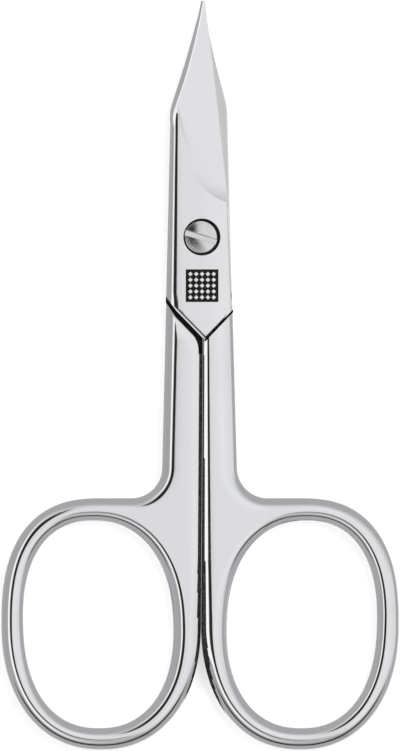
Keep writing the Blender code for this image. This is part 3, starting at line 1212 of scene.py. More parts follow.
@dataclass(frozen=True)
class Blade:
    """The blade of one half.

    Attributes:
        bend_up: How far above the pivot the box turns into the blade.
        tip_side: Where the tip stands, from the box's middle line.
        reach: From the pivot to the tip.
        bend_radius: Radius of the bend.
        bend_lead: How much of the spine belongs to the bend.
        tip_width: Width of the blunted tip.
        spine_hollow: How far the spine is hollowed.
        edge_bulge: How far the cutting edge swells.
        heel_up: How far above the pivot the edge begins.
        heel_half: Half width there.
        edge_round: Reach of the rounded cutting edge.
        facet_slope: Slope of the spine's facet.
        facet_bend_height: Height of the facet's lower side at the bend, from the inner face.
        facet_tip_height: The same at the tip.
        facet_from: How far above the pivot the facet begins.
        facet_power: How fast the facet's lower side comes down from the bend, as a power.
        crease: Width of the narrow flat between the facet and the ground face.
        crease_slope: Its slope.
        grind_radius: Radius of the ground face's round heel.
        grind_side: Where the heel has its left side, from the box's middle line.
        grind_up: How far above the pivot the heel begins.
        grind_depth: Depth of the ground face where the heel begins.
        edge_fall: Fall of the ground face towards the cutting edge.
        tip_fall: Fall of the ground face towards the tip.
        runout: Radius at the foot of the heel.
        hollow_up: How far above the pivot the inner face's hollow begins.
        hollow_slope: Slope of the hollow at its sides.
        hollow_margin: Width of the flat rim beside the hollow.
    """

    bend_up: float
    tip_side: float
    reach: float = 28.4 * MM
    bend_radius: float = 4.0 * MM
    bend_lead: float = 0.1
    tip_width: float = 0.4 * MM
    spine_hollow: float = 0.24 * MM
    edge_bulge: float = 0.05 * MM
    heel_up: float = 5.0 * MM
    heel_half: float = 3.39 * MM
    edge_round: float = 0.18 * MM
    facet_slope: float = radians(42)
    facet_bend_height: float = 0.52 * MM
    facet_tip_height: float = 0.03 * MM
    facet_from: float = 12.9 * MM
    facet_power: float = 3.0
    crease: float = 0.17 * MM
    crease_slope: float = radians(19)
    grind_radius: float = 6.5 * MM
    grind_side: float = -2.43 * MM
    grind_up: float = 10.0 * MM
    grind_depth: float = 0.12 * MM
    edge_fall: float = 0.09
    tip_fall: float = 0.03
    runout: float = 3.0 * MM
    hollow_up: float = 3.5 * MM
    hollow_slope: float = 0.02
    hollow_margin: float = 0.12 * MM


@dataclass(frozen=True)
class ScissorHalf:
    """One forging: ring, shank, joint box and blade.

    Attributes:
        name: Name of the piece and of the node that it stands for.
        side: Which half it is.
        handle: Its ring and shank.
        box: Its joint box.
        blade: Its blade.
        pivot_side: Where the pivot stands in the half's own frame.
        finishes: What its parts look like.
        shoulder: The line of its shoulder.
        bore: Radius of the hole for the screw's shaft.
        heel_steps: How many stretches make the round heel of the ground face.
        hollow_steps: How many stretches the inner face's hollow has along and across.
        side_steps: How many make the rounded side of the box.
    """

    name: str
    side: Side
    handle: Handle
    box: JointBox
    blade: Blade
    pivot_side: float
    finishes: Finishes
    shoulder: Shoulder = Shoulder()
    bore: float = 1.15 * MM
    heel_steps: int = 60
    hollow_steps: tuple[int, int] = (40, 24)
    side_steps: int = 16

    @property
    def box_low(self) -> float:
        """Height of the box's inner face."""
        return (self.handle.thick + self.box.gap) / 2

    @property
    def box_top(self) -> float:
        """Height of the box's outer face."""
        return self.handle.thick - self.box.drop

    @property
    def clear(self) -> float:
        """A height over the whole half."""
        return self.handle.thick + OVERRUN

    def solid(self, name: str, mesh: bpy.types.Mesh, *finishes: bpy.types.Material) -> bpy.types.Object:
        """An object of this half for a mesh."""
        mesh.name = f"{self.name}_{name}"
        return placed(mesh, *finishes)

    def blade_outline(self) -> tuple[Spot, ...]:
        """Blade and joint box in one, the spine to the left, anticlockwise from the tip.

        Returns:
            The spots.
        """
        box, blade = self.box, self.blade
        tip_side = box.side + blade.tip_side
        tip, tip_right = [Spot(tip_side + way * blade.tip_width / 2, blade.reach, box.edge_break / 4)
                          for way in (-1, 1)]
        bend = Spot(box.side - box.high_half, blade.bend_up, box.high_edge, box.tail / 2, form=BOX_EDGE)
        before_bend = replace(bend.mixed(tip, blade.bend_lead), edge=box.edge_break, tail=box.small_tail)
        top, low = [Spot(box.side - half, y, box.low_edge, box.tail, form=BOX_EDGE) for half, y in (
            (box.high_half, blade.bend_up), (box.low_half, -self.shoulder.down))]
        low = replace(low, x=top.x + (low.x - top.x) * box.run, y=top.y + (low.y - top.y) * box.run)
        edge_low = Spot(box.side + box.low_half, height_on(*box.step(), box.side + box.low_half),
                        box.crown_edge, box.crown_tail, form=CROWN_EDGE)
        heel = Spot(box.side + blade.heel_half, blade.heel_up, blade.edge_round, box.crown_tail,
                    form=CROWN_EDGE)
        arc = [replace(spot, edge=before_bend.edge + (bend.edge - before_bend.edge) * share,
                       tail=before_bend.tail + (bend.tail - before_bend.tail) * share)
               for share, spot in eased(filleted(tip, bend, low, blade.bend_radius))]
        side = [spot for spot in bowed(bend, low, 0, self.side_steps) if spot.y < arc[-1].y]
        return (tip, *bowed(tip, before_bend, blade.spine_hollow), *arc, *side, low,
                Spot(edge_low.x - box.buried, low.y, box.edge_break),
                edge_low, heel, *bowed(heel, tip_right, -blade.edge_bulge), tip_right)

    def box_bounds(self) -> bpy.types.Object:
        """The space that the shoulder line leaves to the joint box, with a small rounded edge along it.

        Returns:
            The shape to keep the box in.
        """
        box = self.box
        left, right = box.side - box.low_half - OVERRUN, box.side + box.low_half + OVERRUN
        # The box's wall along the shoulder gets the dull finish: painted dark as shade.
        edge = Spot(0, 0, box.shoulder_edge, box.small_tail, box.wall_painted_shade, SHOULDER_EDGE)
        outer, knee, foot = [replace(edge, x=-spot.x, y=spot.y) for spot in self.shoulder.line(
            self.shoulder.gap / 2)]
        vertex_side = self.handle.seam_top + box.seam_inset
        vertex = replace(edge, x=vertex_side, y=height_on(knee, foot, vertex_side))
        outer = replace(edge, x=left, y=height_on(outer, knee, left))
        ends = [replace(edge, x=x, y=y) for x, y in (
            (vertex.x, vertex.y - box.buried), (right, vertex.y - box.buried),
            (right, self.blade.reach + OVERRUN), (left, self.blade.reach + OVERRUN))]
        spots = (outer, *filleted(outer, knee, vertex, self.shoulder.box_radius), vertex, *ends)
        plate = Plate((spots,), self.box_low - OVERRUN, self.box_top + SLIVER, False)
        return self.solid("box_bounds", plate.mesh("bounds"), self.finishes.polished, self.finishes.dull)

    def grind_cutter(self) -> bpy.types.Object:
        """The space over the ground face: flat and tilted underneath, with a round heel towards the box.

        Returns:
            The cutter.
        """
        blade = self.blade
        heel, far, bend = blade.grind_radius, blade.reach, blade.bend_up - blade.grind_up
        crisp = Spot(0, 0, self.box.edge_break, form=FOOT)
        soft = Spot(0, 0, blade.runout, form=HEEL_FOOT)
        spots = [replace(crisp, x=x, y=y) for x, y in (
            (far, far), (-heel, far), (-heel, bend + heel), (0, bend))]
        for step in range(self.heel_steps + 1):
            angle = pi + pi / 2 * step / self.heel_steps
            spots.append(replace(soft, x=heel + heel * cos(angle), y=heel * sin(angle)))
        spots.append(replace(soft, x=far, y=-heel))
        cutter = self.solid("grind", Plate((tuple(spots),), 0, heel, round_high=False).mesh("grind"),
                            self.finishes.ground)
        cutter.location = (self.box.side + blade.grind_side, blade.grind_up, self.box_top - blade.grind_depth)
        cutter.rotation_euler = (-atan(blade.tip_fall), atan(blade.edge_fall), 0)
        return cutter

    def facet_cutter(self) -> bpy.types.Object:
        """The space over the spine's facet, which meets the ground face in a narrow flat.

        Returns:
            The cutter.
        """
        box, blade = self.box, self.blade
        steep, slight, top = tan(blade.facet_slope), tan(blade.crease_slope), 2 * OVERRUN
        spine = [spot for spot in self.blade_outline()
                 if spot.x < box.side + blade.tip_side and spot.y > blade.facet_from]
        rings = []
        for index, spot in enumerate(spine):
            before, after = spine[max(index - 1, 0)], spine[min(index + 1, len(spine) - 1)]
            level = (before.place - after.place).normalized()
            level = Vector((level.y, -level.x, 0))
            share = (spot.y - blade.bend_up) / (blade.reach - blade.bend_up)
            foot = Vector((*spot.place, self.box_low + blade.facet_tip_height + (
                blade.facet_bend_height - blade.facet_tip_height) * (1 - share) ** blade.facet_power))
            ground = self.box_top - blade.grind_depth - blade.edge_fall * (
                foot.x - box.side - blade.grind_side) - blade.tip_fall * (foot.y - blade.grind_up)
            inset = (ground - foot.z) / (steep + blade.edge_fall * level.x)
            first = inset - blade.crease * sin(blade.crease_slope) / sin(blade.facet_slope) * cos(
                blade.facet_slope)
            last = first + blade.crease * cos(blade.crease_slope) + blade.crease
            section = ((-OVERRUN, -OVERRUN * steep), (first, first * steep),
                       (last, first * steep + (last - first) * slight), (last, top), (-OVERRUN, top))
            rings.append([foot + level * side + Vector((0, 0, rise)) for side, rise in section])
        return self.solid("facet", lofted(rings, "facet"), self.finishes.polished)

    def shank_bounds(self) -> bpy.types.Object:
        """The space that the other half's box leaves to this half's shank, with a rounded edge along it.

        Returns:
            The shape to keep the ring and shank in.
        """
        # The shank's wall along the shoulder gets the dull finish: painted dark as shade.
        edge = Spot(0, 0, self.shoulder.shank_edge, self.box.small_tail, self.box.wall_painted_shade, SHANK_END)
        outer, knee, foot = [replace(edge, x=spot.x, y=spot.y) for spot in self.shoulder.line(
            -self.shoulder.gap / 2)]
        far = replace(edge, x=outer.x + OVERRUN, y=height_on(outer, knee, outer.x + OVERRUN))
        near = replace(edge, x=-OVERRUN, y=height_on(knee, foot, -OVERRUN))
        wide, low = self.handle.ring_width + OVERRUN, -self.handle.reach - OVERRUN
        ends = [replace(edge, x=x, y=y) for x, y in ((near.x, low), (wide, low), (wide, far.y))]
        spots = (far, knee, near, *ends)
        plate = Plate((spots,), -SLIVER, self.clear, True, False)
        return self.solid("shank_bounds", plate.mesh("bounds"), self.finishes.polished, self.finishes.dull)

    def parting_cutter(self) -> bpy.types.Object:
        """A narrow groove along the step, which gets deeper towards the rounded side; its walls are painted
        near black as shade.

        Returns:
            The cutter.
        """
        box, line = self.box, self.box.step()
        slope = (line[1].place - line[0].place).normalized()
        across = Vector((-slope.y, slope.x)) * box.parting_width
        rings = []
        for x, floor in ((self.handle.seam_top + box.gap, self.box_top - box.parting_rise),
                         (box.step_side + OVERRUN, box.parting_low)):
            start = Vector((x, height_on(*line, x)))
            rings.append([Vector((*place, z)) for place, z in (
                (start, floor), (start + across, floor), (start + across, self.clear), (start, self.clear))])
        return self.solid("parting", lofted(rings, "parting"), self.finishes.dull)

    def notch_cutter(self) -> bpy.types.Object:
        """The round-sided space beside the seam, as deep as the other half's box; its walls are painted near
        black as shade.

        Returns:
            The cutter.
        """
        _, knee, foot = self.shoulder.line(-self.shoulder.gap / 2)
        side = self.handle.gap / 2 + self.handle.seam_top + self.shoulder.notch_width
        corner = Spot(side, height_on(knee, foot, side))
        bottom = Spot(side, -self.shoulder.notch_down)
        arc = filleted(knee, corner, bottom, self.shoulder.notch_radius)
        spots = (knee, Spot(knee.x, knee.y + OVERRUN), Spot(-OVERRUN, knee.y), Spot(-OVERRUN, bottom.y),
                 bottom, *reversed(arc))
        return self.solid("notch", Plate((spots,), -OVERRUN, self.box_low, False, False).mesh("notch"),
                          self.finishes.dull)

    def step_cutter(self) -> bpy.types.Object:
        """The space over the box's face, up to the step in the shank; its low edge is round, and its wall and
        foot are painted dark as shade.

        Returns:
            The cutter.
        """
        right, left, line = self.box.step_side + OVERRUN, -OVERRUN, self.box.step()
        # The step's wall and the foot beside it get the dull finish: painted dark as shade.
        foot = Spot(0, 0, self.box.step_edge, dull=self.box.step_painted_shade, form=STEP_FOOT)
        spots = tuple(replace(foot, x=x, y=y) for x, y in (
            (left, height_on(*line, left)), (right, height_on(*line, right)), (right, 0), (left, 0)))
        return self.solid("step", Plate((spots,), self.box_top, self.clear, True, False).mesh("step"),
                          self.finishes.polished, self.finishes.dull)

    def relief_cutter(self) -> bpy.types.Object:
        """A shallow space under the box, where the inner face is left unpolished and painted near black as
        shade.

        Returns:
            The cutter.
        """
        half, low = self.box.low_half + OVERRUN, -self.box.step_seam_down - OVERRUN
        spots = rectangle(-half, low, half, -self.shoulder.down + self.shoulder.gap)
        plate = Plate((spots,), self.box_low - OVERRUN, self.box_low + self.box.relief, False, False)
        return self.solid("relief", plate.mesh("relief"), self.finishes.dull)

    def hollow_cutter(self) -> bpy.types.Object:
        """The shallow hollow along the inner face of the blade, which narrows to the tip.

        Returns:
            The cutter.
        """
        box, blade = self.box, self.blade
        low_left = Spot(box.side - box.low_half, -self.shoulder.down)
        bend = Spot(box.side - box.high_half, blade.bend_up)
        heel = Spot(box.side + blade.heel_half, blade.heel_up)
        tip = box.side + blade.tip_side
        below = self.box_low - OVERRUN
        lengths, widths = self.hollow_steps
        rings = []
        for step in range(lengths + 1):
            y = blade.hollow_up + (blade.reach - blade.hollow_up) * step / lengths
            share = max(0.0, (y - bend.y) / (blade.reach - bend.y))
            left = bend.x + (tip - bend.x) * share if share else bend.x + (low_left.x - bend.x) * (
                bend.y - y) / (bend.y - low_left.y)
            right = heel.x + (tip - heel.x) * max(0.0, (y - heel.y) / (blade.reach - heel.y))
            left, right = left + blade.hollow_margin, right - blade.hollow_margin
            if right - left < blade.hollow_margin:
                break
            half = (right - left) / 2
            ring = [Vector((left, y, below))]
            for across in range(widths + 1):
                place = 2 * across / widths - 1
                rise = half * blade.hollow_slope / 2 * (1 - place ** 2) - SAME_PLACE
                ring.append(Vector((left + half * (1 + place), y, self.box_low + rise)))
            rings.append([*ring, Vector((right, y, below))])
        return self.solid("hollow", lofted(rings, "hollow"), self.finishes.inner)

    def hole(self, name: str, radius: float, low: float, offset: float, finish: bpy.types.Material,
             edge: float = 0.0) -> bpy.types.Object:
        """A round hole on the pivot that opens through the outer face.

        Args:
            name: Name of the cutter.
            radius: Its radius.
            low: Height of its floor.
            offset: How far it stands to the right of the pivot.
            finish: What its walls look like.
            edge: Radius at its foot.

        Returns:
            The cutter.
        """
        foot = [(radius - edge * (1 - sin(angle)), low + edge * (1 - cos(angle))) for angle in QUARTER_ROUND]
        profile = ((0, low), *(foot if edge else [(radius, low)]), (radius, self.clear), (0, self.clear))
        cutter = self.solid(name, Turning(profile).mesh(name), finish)
        cutter.location = (self.pivot_side + offset, 0, 0)
        return cutter

    def place(self, pivot: Vector) -> Matrix:
        """Where the half's own frame lies in the scene.

        Args:
            pivot: The joint's place.

        Returns:
            The move, which turns the rear half over.
        """
        move = Matrix.Translation((0, pivot.y, 0))
        if self.side is Side.FRONT:
            return move
        return move @ Matrix.Translation((0, 0, self.handle.thick)) @ Matrix.Rotation(pi, 4, "Y")

    def build(self, pivot: Vector, *extra: bpy.types.Object) -> bpy.types.Object:
        """Builds the half and puts it on its body.

        The order of the cuts matters: the box's inner face is hollowed before its outer face is ground.

        Args:
            pivot: The joint's place.
            extra: More cutters of this half.

        Returns:
            The piece.
        """
        finishes = self.finishes
        shape = self.solid("handle", self.handle.plate(OVERRUN - self.shoulder.down).mesh("handle"),
                           finishes.polished, finishes.dull)
        plate = Plate((self.blade_outline(),), self.box_low, self.box_top, False)
        blade = self.solid("blade", plate.mesh("blade"), finishes.polished, finishes.dull)
        box_cuts = {self.box_bounds(): Cut.KEEP}
        for cutter in (self.hollow_cutter(), self.relief_cutter(), self.grind_cutter(), self.facet_cutter()):
            box_cuts[cutter] = Cut.TAKE
        cuts = {self.shank_bounds(): Cut.KEEP, self.notch_cutter(): Cut.TAKE, blade: Cut.JOIN}
        for cutter in (self.step_cutter(), self.parting_cutter(),
                       self.hole("bore", self.bore, -OVERRUN, 0, finishes.polished), *extra):
            cuts[cutter] = Cut.TAKE
        for owner, changes in ((blade, box_cuts), (shape, cuts)):
            for cutter, cut in changes.items():
                combined(owner, cutter, cut)
        piece = settled(shape, [*box_cuts, *cuts], f"{self.name}_steel", self.place(pivot))
        return handed_over(piece, self.side, self.name)


@dataclass(frozen=True)
class PivotScrew:
    """The slotted screw that both halves turn on.

    Attributes:
        head: Radius of the head.
        head_thick: Thickness of the head under its crown.
        crown: Rise of the head's face.
        crown_steps: How many rows of faces the crown has.
        edge_break: How far its edges are broken.
        break_steps: How many rows of faces a broken edge of the slot has.
        slot_width: Width of the slot.
        slot_depth: Depth of the slot under the crown's top.
        slot_turn: Direction of the slot.
        slot_lean: How far the slot's floor leans.
        shaft: Radius of the shaft.
        seat: Gap under the head.
        end_sink: How far the end lies below the back's box face.
        recess: Radius of the recess for the head.
        recess_offset: How far the recess stands to the right of the pivot.
    """

    head: float = 1.96 * MM
    head_thick: float = 0.58 * MM
    crown: float = 0.2 * MM
    crown_steps: int = 12
    edge_break: float = 0.12 * MM
    break_steps: int = 3
    slot_width: float = 0.7 * MM
    slot_depth: float = 0.4 * MM
    slot_turn: float = radians(-17)
    slot_lean: float = radians(-7)
    shaft: float = 1.1 * MM
    seat: float = 0.05 * MM
    end_sink: float = 0.04 * MM
    recess: float = 2.22 * MM
    recess_offset: float = 0.13 * MM

    def top(self, box_top: float) -> float:
        """Height of the crown's top over a box face at box_top."""
        return box_top + self.crown / 2

    def recess_cutter(self, half: ScissorHalf) -> bpy.types.Object:
        """The round recess in which the head lies; its walls are painted near black as shade around the head.

        Args:
            half: The half that holds it.

        Returns:
            The cutter.
        """
        floor = self.top(half.box_top) - self.crown - self.head_thick - self.seat
        # The recess gets the dull finish, painted near black as shade around the head.
        return half.hole("head_recess", self.recess, floor, self.recess_offset, half.finishes.dull,
                         self.edge_break)

    def slot(self, finish: bpy.types.Material) -> bpy.types.Object:
        """The bar that cuts the slot, with its long edges broken.

        Args:
            finish: What the slot looks like.

        Returns:
            The cutter, around the origin.
        """
        build = bmesh.new()
        bmesh.ops.create_cube(build, size=1)
        bmesh.ops.scale(build, verts=build.verts, vec=(4 * self.head, self.slot_width, 2 * self.slot_depth))
        bmesh.ops.bevel(build, geom=[edge for edge in build.edges if abs(
            edge.verts[0].co.x - edge.verts[1].co.x) > self.head], offset=self.edge_break / 2,
            segments=self.break_steps, affect="EDGES")
        return placed(closed(build, "screw_slot"), finish)

    def build(self, half: ScissorHalf, pivot: Vector, finish: bpy.types.Material) -> bpy.types.Object:
        """Builds the screw and puts it on its body.

        Args:
            half: The half that holds its head.
            pivot: The joint's place.
            finish: What it looks like.

        Returns:
            The piece.
        """
        top = self.top(half.box_top)
        end = half.box.drop + self.end_sink
        low = top - self.crown
        head_low = low - self.head_thick
        rim = self.head - self.edge_break
        profile = [(0, end), (self.shaft - self.edge_break, end), (self.shaft, end + self.edge_break),
                   (self.shaft, head_low), (self.head, head_low)]
        for angle in QUARTER_ROUND:
            profile.append((rim + self.edge_break * cos(angle), low - self.edge_break * (1 - sin(angle))))
        for step in range(self.crown_steps):
            share = (self.crown_steps - 1 - step) / self.crown_steps
            profile.append((rim * share, low + self.crown * (1 - share ** 2)))
        screw = placed(Turning(tuple(profile)).mesh("screw"), finish)
        screw.location = (pivot.x, pivot.y, 0)
        slot = self.slot(finish)
        slot.location = (pivot.x, pivot.y, top)
        slot.rotation_euler = (self.slot_lean, 0, self.slot_turn)
        combined(screw, slot, Cut.TAKE)
        piece = settled(screw, [slot], "pivot_screw_steel", Matrix.Translation((pivot.x, pivot.y, 0)))
        return handed_over(piece, Side.REAR, "pivot_screw")


@dataclass(frozen=True)
class EtchedPanel:
    """A small black square on the joint box, with a plain lattice of bright diamonds.

    Attributes:
        side: Where its middle stands across the scissors.
        down: How far below the pivot its middle lies.
        width: Length of its sides.
        thick: Thickness of the black layer.
        bright_thick: Thickness of a diamond.
        count: How many diamonds a row has.
        diamond: Width of a diamond.
        margin: Distance from the outermost diamonds' middles to the sides.
    """

    side: float = 0.25 * MM
    down: float = 5.83 * MM
    width: float = 3.92 * MM
    thick: float = 0.012 * MM
    bright_thick: float = 0.006 * MM
    count: int = 5
    diamond: float = 0.54 * MM
    margin: float = 0.56 * MM

    def place(self, pivot: Vector, height: float) -> Matrix:
        """The move to the panel's middle, at a height."""
        return Matrix.Translation((self.side, pivot.y - self.down, height))

    def field(self, face: float, pivot: Vector, finish: bpy.types.Material) -> bpy.types.Object:
        """Builds the black square.

        Args:
            face: Height of the box's face.
            pivot: The joint's place.
            finish: What it looks like.

        Returns:
            The piece.
        """
        half = self.width / 2
        spots = rectangle(-half, -half, half, half, self.thick / 2)
        mesh = Plate((spots,), face - self.thick / 2, face + self.thick, round_low=False).mesh("etched_panel")
        mesh.transform(self.place(pivot, 0))
        return handed_over(placed(mesh, finish), Side.FRONT)

    def lattice_tree(self, finish: bpy.types.Material) -> bpy.types.GeometryNodeTree:
        """A tree that sets diamonds out on a grid.

        Args:
            finish: What the diamonds look like.

        Returns:
            The tree, with its sizes as named inputs.
        """
        tree = bpy.data.node_groups.new("diamond_lattice", "GeometryNodeTree")
        face = tree.interface
        face.new_socket("Geometry", in_out="INPUT", socket_type="NodeSocketGeometry")
        sizes = (("Reach", "Float"), ("Count", "Int"), ("Diamond", "Float"), ("Thickness", "Float"))
        for name, kind in sizes:
            face.new_socket(name, in_out="INPUT", socket_type=f"NodeSocket{kind}")
        face.new_socket("Geometry", in_out="OUTPUT", socket_type="NodeSocketGeometry")
        sheet = NodeSheet(tree)
        given = sheet.add("NodeGroupInput").outputs
        grid = sheet.add("GeometryNodeMeshGrid", Size_X=given["Reach"], Size_Y=given["Reach"],
                         Vertices_X=given["Count"], Vertices_Y=given["Count"])
        bead = sheet.add("GeometryNodeMeshCylinder", {"fill_type": "NGON"}, Vertices=4, Radius=sheet.maths(
            "DIVIDE", given["Diamond"], 2.0), Depth=given["Thickness"])
        spread = sheet.add("GeometryNodeInstanceOnPoints", Points=grid.outputs["Mesh"],
                           Instance=bead.outputs["Mesh"])
        real = sheet.add("GeometryNodeRealizeInstances", Geometry=spread.outputs[0])
        dressed = sheet.add("GeometryNodeSetMaterial", Geometry=real.outputs[0], Material=finish)
        sheet.add("NodeGroupOutput", Geometry=dressed.outputs[0])
        return tree

    def lattice(self, face: float, pivot: Vector, finish: bpy.types.Material) -> bpy.types.Object:
        """Builds the diamonds.

        Args:
            face: Height of the box's face.
            pivot: The joint's place.
            finish: What they look like.

        Returns:
            The piece.
        """
        tree = self.lattice_tree(finish)
        seed = placed(bpy.data.meshes.new("lattice_seed"), finish)
        modifier = seed.modifiers.new("lattice", "NODES")
        modifier.node_group = tree
        sizes = {"Reach": self.width - 2 * self.margin, "Count": self.count, "Diamond": self.diamond,
                 "Thickness": self.bright_thick * 2}
        for item in tree.interface.items_tree:
            if item.name in sizes:
                modifier[item.identifier] = sizes[item.name]
        piece = settled(seed, [], "etched_lattice", self.place(pivot, face + self.thick))
        return handed_over(piece, Side.FRONT)


def grey_colour(level: float) -> tuple[float, float, float, float]:
    """A grey as a colour socket takes it."""
    return level, level, level, 1


@dataclass(frozen=True)
class Lamp:
    """A soft square lamp that points at the scissors and doesn't show in polished steel.

    Attributes:
        name: Its name.
        place: Where it stands.
        size: Length of its sides.
        power: Its strength in watts.
    """

    name: str
    place: tuple[float, float, float]
    size: float
    power: float

    def build(self) -> None:
        """Sets the lamp up."""
        data = bpy.data.lights.new(self.name, "AREA")
        data.shape = "SQUARE"
        data.size, data.energy = self.size, self.power
        lamp = bpy.data.objects.new(self.name, data)
        lamp.location = self.place
        lamp.rotation_euler = (-Vector(self.place)).to_track_quat("-Z", "Y").to_euler()
        lamp.visible_glossy = False
        bpy.context.collection.objects.link(lamp)


@dataclass(frozen=True)
class Tent:
    """The white tent with a dark gap and a bright edge on the left, as polished steel shows it.

    Places in it are the tangents of a direction, across or along the scissors. A fade is the start and end of
    a range and what it has at either; a band is where it begins, is full, fades and is gone.

    Attributes:
        plain_light: Brightness of the world for everything that isn't a mirror.
        horizon: The least height of a direction.
        reach: How far the walls are drawn to either side.
        walls: Place across and brightness of the walls' stops.
        bend: How far the walls lean over in front.
        left_gap: Band of the dark gap, across.
        left_gap_near: Its fade towards the rings.
        left_gap_far: Its fade towards the tip.
        left_gap_depth: How dark it is.
        near_gap: Band of the dark gap towards the rings, by height.
        near_gap_start: Its fade along the scissors.
        low_grey: Brightness of the tent near the floor.
        low_near: Fade to this towards the rings.
        low_far: Fade to this towards the tip.
        low_rim: Fade to this by height.
    """

    plain_light: float = 0.6
    horizon: float = 0.02
    reach: float = 2.0
    walls: tuple[tuple[float, float], ...] = (
        (-2.0, 0.47), (-1.15, 0.5), (-1.0, 1.2), (-0.6, 1.25), (-0.5, 0.9), (-0.1, 0.86), (0.0, 0.95),
        (0.04, 1.0), (0.08, 1.02), (0.13, 1.02), (0.22, 0.98), (2.0, 0.92))
    bend: float = 0.64
    left_gap: tuple[float, float, float, float] = (-0.52, -0.46, -0.15, -0.1)
    left_gap_near: tuple[float, float, float, float] = (-0.45, -0.15, 0.22, 1.0)
    left_gap_far: tuple[float, float, float, float] = (0.38, 0.6, 1.0, 0.0)
    left_gap_depth: float = 0.97
    near_gap: tuple[float, float, float, float] = (0.36, 0.4, 0.52, 0.57)
    near_gap_start: tuple[float, float, float, float] = (-0.75, -0.95, 0.0, 0.93)
    low_grey: float = 0.5
    low_near: tuple[float, float, float, float] = (-0.4, -1.1, 0.0, 1.0)
    low_far: tuple[float, float, float, float] = (0.3, 1.5, 0.0, 1.0)
    low_rim: tuple[float, float, float, float] = (0.27, 0.2, 0.0, 1.0)

    @staticmethod
    def band(sheet: NodeSheet, value: bpy.types.NodeSocket,
             places: tuple[float, float, float, float]) -> bpy.types.NodeSocket:
        """A soft-edged band of a value.

        Args:
            sheet: Where it is written.
            value: What it reads.
            places: Where the band begins, is full, fades and is gone.

        Returns:
            One inside the band and zero outside.
        """
        start, full, ease, end = places
        return sheet.maths("MULTIPLY", sheet.spread(value, start, full, 0.0, 1.0),
                           sheet.spread(value, ease, end, 1.0, 0.0))

    def reflected(self, sheet: NodeSheet) -> bpy.types.NodeSocket:
        """Writes what polished steel sees.

        Args:
            sheet: The world's tree.

        Returns:
            The tent's colour in the direction that is looked in.
        """
        way = sheet.add("ShaderNodeTexCoord").outputs["Generated"]
        parts = sheet.add("ShaderNodeSeparateXYZ", Vector=way).outputs
        height = sheet.maths("MAXIMUM", parts["Z"], self.horizon)
        across = sheet.maths("DIVIDE", parts["X"], height)
        along = sheet.maths("DIVIDE", parts["Y"], height)
        bent = sheet.maths("MULTIPLY_ADD", sheet.maths("MINIMUM", along, 0.0), self.bend, across)
        stops = [((place + self.reach) / (2 * self.reach), grey) for place, grey in self.walls]
        walls = sheet.ramp(sheet.spread(bent, -self.reach, self.reach, 0.0, 1.0), *stops)
        ends = sheet.maths("MULTIPLY", sheet.spread(along, *self.left_gap_near),
                           sheet.spread(along, *self.left_gap_far))
        left_gap = sheet.maths("MULTIPLY", self.band(sheet, bent, self.left_gap),
                               sheet.maths("MULTIPLY", ends, self.left_gap_depth))
        near_gap = sheet.maths("MULTIPLY", self.band(sheet, parts["Z"], self.near_gap),
                               sheet.spread(along, *self.near_gap_start))
        low = sheet.maths("MAXIMUM", sheet.spread(along, *self.low_near), sheet.spread(along, *self.low_far))
        low = sheet.maths("MAXIMUM", low, sheet.spread(parts["Z"], *self.low_rim))
        mixed = sheet.add("ShaderNodeMix", {"data_type": "RGBA"}, Factor=low)
        colours = [socket for socket in mixed.inputs if socket.type == "RGBA"]
        sheet.feed(colours[0], walls)
        sheet.feed(colours[1], grey_colour(self.low_grey))
        shut = sheet.maths("MULTIPLY", sheet.maths("SUBTRACT", 1.0, left_gap),
                           sheet.maths("SUBTRACT", 1.0, near_gap))
        return sheet.scaled(next(socket for socket in mixed.outputs if socket.type == "RGBA"), shut)

    def build(self) -> None:
        """Sets the world up: plain for what is matt, the tent for reflections and white for the camera."""
        world = bpy.data.worlds.new("tent")
        bpy.context.scene.world = world
        world.use_nodes = True
        sheet = NodeSheet(world.node_tree)
        tent = self.reflected(sheet)
        path = sheet.add("ShaderNodeLightPath").outputs
        colours = (grey_colour(self.plain_light), tent, grey_colour(1))
        light, mirrored, white = [sheet.add("ShaderNodeBackground", Color=colour).outputs[0]
                                  for colour in colours]
        through = sheet.maths("MAXIMUM", path["Is Camera Ray"], path["Is Transmission Ray"])
        for other, factor in ((mirrored, path["Is Glossy Ray"]), (white, through)):
            joined = sheet.add("ShaderNodeMixShader", Fac=factor)
            sheet.feed(joined.inputs[1], light)
            sheet.feed(joined.inputs[2], other)
            light = joined.outputs[0]
        sheet.add("ShaderNodeOutputWorld", Surface=light)


